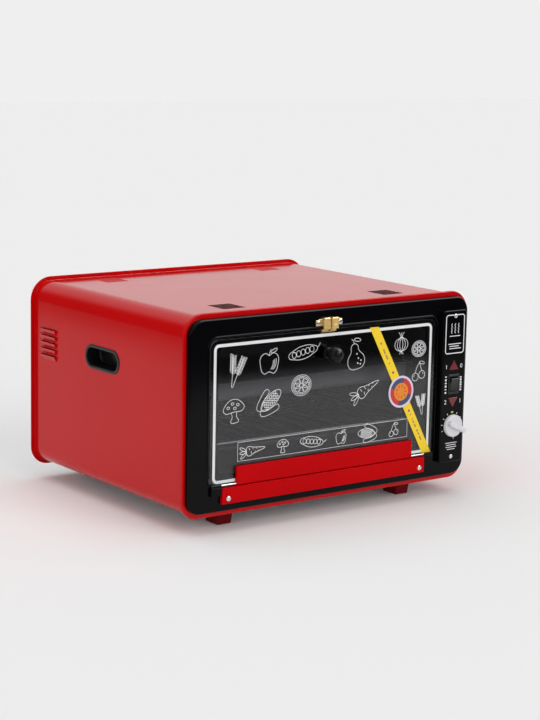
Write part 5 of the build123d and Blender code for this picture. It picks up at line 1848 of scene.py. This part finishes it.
    def marks(self) -> Iterable[tuple[float, ...]]:
        """Each small bar: how far right of the box's middle, its height, its two sizes and its lean.

        Returns:
            One entry a bar.
        """
        for column in (-7.0, 0.0, 7.0):
            for step in range(6):
                yield column, 262 + step * 2.6, 1.1, 3.2, 32 if step % 2 else -32
        yield 0, 256.5, 22, 1.2
        for row, (wide, right) in enumerate(((26, 0), (20, -1), (24, 1))):
            yield right, 244 - row * 3.6, wide, 1.3
        for side, tall in ((-1, 30), (1, 24)):
            for row, high in enumerate((3.6, 2.2, 4.2, 2.8, 3.8, 2.4)):
                yield side * 15.6, self.rocker_z + (row - 2.5) * tall / 6, 3.4, high * 0.8
        for step in (-4, -3, -2, -1, 1, 2, 3, 4, 5, 6):
            lean = step * self.ring_step
            right, up = math.sin(math.radians(lean)), math.cos(math.radians(lean))
            yield self.ring * right, self.dial_z + self.ring * up, 1.0, 3.0, lean
        for row, wide in enumerate((24, 20, 22, 16)):
            yield 0, 86 - row * 3.4, wide, 1.0

    def print(self) -> None:
        """Prints the frame, the tick ring, the numbers and the small marks."""
        ink = [printed("box_print", self.frame, 1.5, self.face, 6, 0.0)]
        ink += [self.mark(self.x + right, *rest) for right, *rest in self.marks()]
        ink += [self.words(text, self.x + right, z, 7.0) for text, right, z in self.numbers]
        settle(join(ink), WHITE_INK, Body.OVEN)
        tick = self.mark(self.x, 135.2, 4.6, 2.6)
        tick.name = "top_tick"
        settle(tick, AMBER_INK, Body.OVEN)

    def make(self) -> None:
        """Builds the controls."""
        self.cover()
        self.lamps()
        self.switch()
        self.dial()
        self.print()


@dataclass
class Gland:
    """The cord inlet in the rear cover, with ribs on its sleeve and its nut inside."""

    x: float = 205.0
    z: float = 64.0

    def make(self) -> None:
        """Builds the sleeve and the nut."""
        profile = [(417, 4), (417, 7.2), (417.6, 7.8), (428, 7.8)]
        profile += [(428, 12), (431.4, 12), (432, 11.4), (432, 9.6)]
        for rib in range(3):
            start = 433.0 + rib * 2.2
            profile += [(start, 7.8), (start + 0.7, 7.8), (start + 0.9, 7.1), (start + 1.6, 7.1)]
        profile += [(439.4, 7.4), (440, 6.6), (440, 4.6), (439.4, 4), (417, 4)]
        sleeve = turned("gland_sleeve", self.x, self.z, profile, 48)
        hexagon = [(420, 7.9), (420, 12), (426.98, 12), (426.98, 7.9), (420, 7.9)]
        nut = turned("gland_nut", self.x, self.z, hexagon, 6)
        settle(join([sleeve, nut]), BLACK_PLASTIC, Body.OVEN, ["cable_gland"])


def polish(node: str, finish: Finish, body: Body, angle: float = 40.0, edge: float = 0.0) -> None:
    """Gives a node a smooth copy of itself, merged, with its edges eased.

    Args:
        node: the frame's node.
        finish: its surface.
        body: what it rides on.
        angle: edges sharper than this stay crisp.
        edge: how far its sharp edges are rounded.
    """
    source = bpy.data.objects[node]
    only(source)
    bpy.ops.object.duplicate()
    piece = bpy.context.object
    piece.parent = None
    piece.name = f"{node}_smooth"
    for key in [key for key in piece.keys() if key.startswith("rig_")]:
        del piece[key]
    with Editing(piece):
        bpy.ops.mesh.remove_doubles(threshold=2e-6)
        bpy.ops.mesh.dissolve_limited(angle_limit=math.radians(0.5))
    if edge:
        soften(piece, edge, 2, 50)
    settle(piece, finish, body, [node], angle, shift=False)


class Inside:
    """The pieces inside the casing and behind the glass, kept in the frame's own shapes."""

    smooth: tuple[tuple[str, Finish, Body], ...] = (
        ("oven_cavity", CAVITY_ENAMEL, Body.OVEN),
        ("baking_tray", TRAY_ENAMEL, Body.TRAY),
        ("wire_rack", CHROMED_WIRE, Body.RACK),
        ("shelf_runner_left", CHROMED_WIRE, Body.OVEN),
        ("shelf_runner_right", CHROMED_WIRE, Body.OVEN),
        ("lower_heating_element", HEATER_SHEATH, Body.OVEN),
        ("upper_heating_element", HEATER_SHEATH, Body.OVEN),
        ("thermostat_bulb", STEEL, Body.OVEN),
        ("hinge_rod", STEEL, Body.OVEN),
        ("knob_screw", STEEL, Body.DOOR),
        ("knob_washer", SILICONE, Body.DOOR),
        ("rocker_button", BLACK_PLASTIC, Body.ROCKER),
        ("wiring_harness", SILICONE, Body.OVEN),
    )
    plain: tuple[tuple[Finish, tuple[str, ...]], ...] = (
        (ZINC_PLATE, ("rear_cover", "base_plate", "cavity_support", "bulb_clips")),
        (STEEL, ("thermostat_shaft", "thermostat_screws")),
        (MINERAL_BLANKET, ("insulation_blanket", "insulation_rear")),
        (BLACK_PLASTIC, ("thermostat_body", "lamp_holders")),
        (NEON_GLASS, ("neon_bulbs",)),
        (SILICONE, ("clamp_packing",)),
        (PORCELAIN, ("terminal_block",)),
    )

    def make(self) -> None:
        """Smooths the round pieces and dresses the flat ones."""
        for node, finish, body in self.smooth:
            polish(node, finish, body, edge=0.5 if node == "rocker_button" else 0.0)
        for finish, nodes in self.plain:
            for node in nodes:
                slots = bpy.data.objects[node].data.materials
                slots.clear()
                slots.append(finish.material())


@dataclass
class Studio:
    """The camera, the soft lamps, the pale floor and what mirrored rays find round the oven.

    The room, the panel and the near floor are limits along X, Y and maybe Z, each with the width
    that the change is spread over.
    """

    lens: float = 94.535
    eye: Triple = (-1.744788, -2.378529, 0.732755)
    yaw: float = 36.7852
    pitch: float = 10.1417
    roll: float = -1.1753
    pale: float = 0.863
    table: float = 0.955
    fill: float = 0.42
    dim: float = 0.05
    ceiling: float = 7.0
    room: tuple[Pair, ...] = ((-0.3, 0.3), (-0.2, 0.4))
    panel: tuple[Pair, ...] = ((0.3, 0.2), (0.1, -0.2), (0.45, 0.2))
    near: tuple[Pair, ...] = ((-1.15, 0.1), (-1.12, 0.3))
    lamps: tuple[tuple[str, Triple, float, float], ...] = (
        ("top_lamp", (-0.1, 0.1, 1.0), 70, 0.9),
        ("left_lamp", (-1.0, -0.25, 0.45), 50, 0.45),
        ("front_lamp", (0.15, -1.0, 0.5), 50, 0.9),
    )

    def camera(self) -> None:
        """Sets the camera where the photograph was taken."""
        yaw, pitch, roll = (math.radians(angle) for angle in (self.yaw, self.pitch, self.roll))
        level = Vector((math.sin(yaw), math.cos(yaw), 0))
        ahead = math.cos(pitch) * level - Vector((0, 0, math.sin(pitch)))
        right = Vector((math.cos(yaw), -math.sin(yaw), 0))
        down = ahead.cross(right)
        across = math.cos(roll) * right + math.sin(roll) * down
        below = -math.sin(roll) * right + math.cos(roll) * down
        bpy.ops.object.camera_add(location=self.eye)
        camera = bpy.context.object
        camera.rotation_euler = Matrix((across, -below, -ahead)).transposed().to_euler()
        camera.data.lens = self.lens
        camera.data.sensor_width = 36.0
        bpy.context.scene.camera = camera

    def lamp(self, name: str, where: Triple, spread: float, strength: float) -> None:
        """A soft distant lamp that faces the oven.

        Args:
            name: the lamp's name.
            where: the direction it shines from.
            spread: how wide it looks, in degrees.
            strength: its light on a surface that faces it.
        """
        bpy.ops.object.light_add(type="SUN", location=where)
        lamp = bpy.context.object
        lamp.name = name
        lamp.data.angle = math.radians(spread)
        lamp.data.energy = strength
        lamp.rotation_euler = (-Vector(where)).to_track_quat("-Z", "Y").to_euler()

    def past(self, graph: Graph, space: str, limits: Iterable[Pair]) -> Value:
        """A mask of what lies past a limit along each axis.

        Args:
            graph: the nodes.
            space: what the places are measured in.
            limits: for X, Y and maybe Z, the limit and the width that the mask rises over.

        Returns:
            The mask.
        """
        places = graph.apart(graph.here(space))
        return graph.chain("MULTIPLY", [graph.fade(value, *limit) for value, limit in zip(places, limits)])

    def world(self) -> None:
        """A pale backdrop, and for mirrored rays a dim room with a soft bright panel in front."""
        world = bpy.data.worlds.new("studio")
        bpy.context.scene.world = world
        world.use_nodes = True
        graph = Graph(world.node_tree)
        rays = graph.add("ShaderNodeLightPath").outputs
        room = graph.level(self.past(graph, "Generated", self.room), self.dim, self.pale)
        backdrop = graph.level(self.past(graph, "Generated", self.panel), room, self.ceiling)
        light = graph.level(rays["Is Glossy Ray"], self.fill, backdrop)
        straight = graph.math("MAXIMUM", rays["Is Camera Ray"], rays["Is Transmission Ray"])
        colour = graph.level(straight, light, self.pale)
        graph.feed(world.node_tree.nodes["Background"].inputs["Color"], colour)

    def floor(self) -> None:
        """A wide pale table, which mirrored rays find dark far in front and far to the left."""
        bpy.ops.mesh.primitive_plane_add(size=24.0, location=(0, 0, 0))
        floor = bpy.context.object
        floor.name = "studio_floor"
        made = bpy.data.materials.new("pale_floor")
        made.use_nodes = True
        graph = Graph(made.node_tree)
        rays = graph.add("ShaderNodeLightPath").outputs
        straight = graph.math("MAXIMUM", rays["Is Camera Ray"], rays["Is Diffuse Ray"])
        lit = graph.math("MAXIMUM", self.past(graph, "Object", self.near), straight)
        colour = graph.level(lit, self.dim, self.table)
        shader = made.node_tree.nodes["Principled BSDF"]
        for name, value in (("Base Color", colour), ("Roughness", 0.9), ("Specular IOR Level", 0.0)):
            graph.feed(shader.inputs[name], value)
        floor.data.materials.append(made)

    def make(self) -> None:
        """Sets the stage."""
        self.camera()
        self.world()
        self.floor()
        for lamp in self.lamps:
            self.lamp(*lamp)
        bpy.context.scene.view_settings.view_transform = "Standard"


def fixings() -> tuple[Fixing, ...]:
    """Every row of screws on the oven.

    Returns:
        The rows.
    """
    half_x, half_z, middle = 258.0, 138.0, 174.0
    columns = (-half_x * 0.7, 0, half_x * 0.7)
    rear = [(x, 428, middle + z) for x in columns for z in (-half_z, half_z)]
    rear += [(x, 428, middle) for x in (-half_x, half_x)]
    feet = Feet()
    soles = tuple((x, y, 8) for y in feet.rows for x in (-feet.across, feet.across))
    catch, box = Catch(), Controls()
    ears = tuple((catch.x + side * catch.ear, -9.5, catch.screw_z) for side in (-1, 1))
    covers = tuple((x, -14.5, 52) for x in (-197.5, 167.5))
    lids = tuple((box.x, box.face, z) for z in (64, 288))
    return (
        Fixing("catch_screws", 4.2, 2.2, ears, BRIGHT_SCREW),
        Fixing("apron_screws", 4.0, 2.2, covers, BRIGHT_SCREW, roll=20),
        Fixing("control_box_screws", 3.4, 1.8, lids, BRIGHT_SCREW, roll=60),
        Fixing("rear_cover_screws", 3.6, 2.0, tuple(rear), STEEL, (0, 0, 180)),
        Fixing("foot_screws", 4.6, 2.6, soles, STEEL, (90, 0, 0)),
    )


def main() -> None:
    """Builds every sub-assembly in order."""
    logging.basicConfig(level=logging.INFO, format="%(message)s")
    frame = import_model()
    Studio().make()
    Casing().make()
    for side, word in ((-1, "left"), (1, "right")):
        CarryCup(side, f"grip_cup_{word}").make()
    Feet().make()
    Front().make()
    Hinge().make()
    Catch().make()
    Door().make()
    Sketches().make()
    Controls().make()
    Gland().make()
    for fixing in fixings():
        fixing.make()
    Inside().make()


if __name__ == "__main__":
    main()
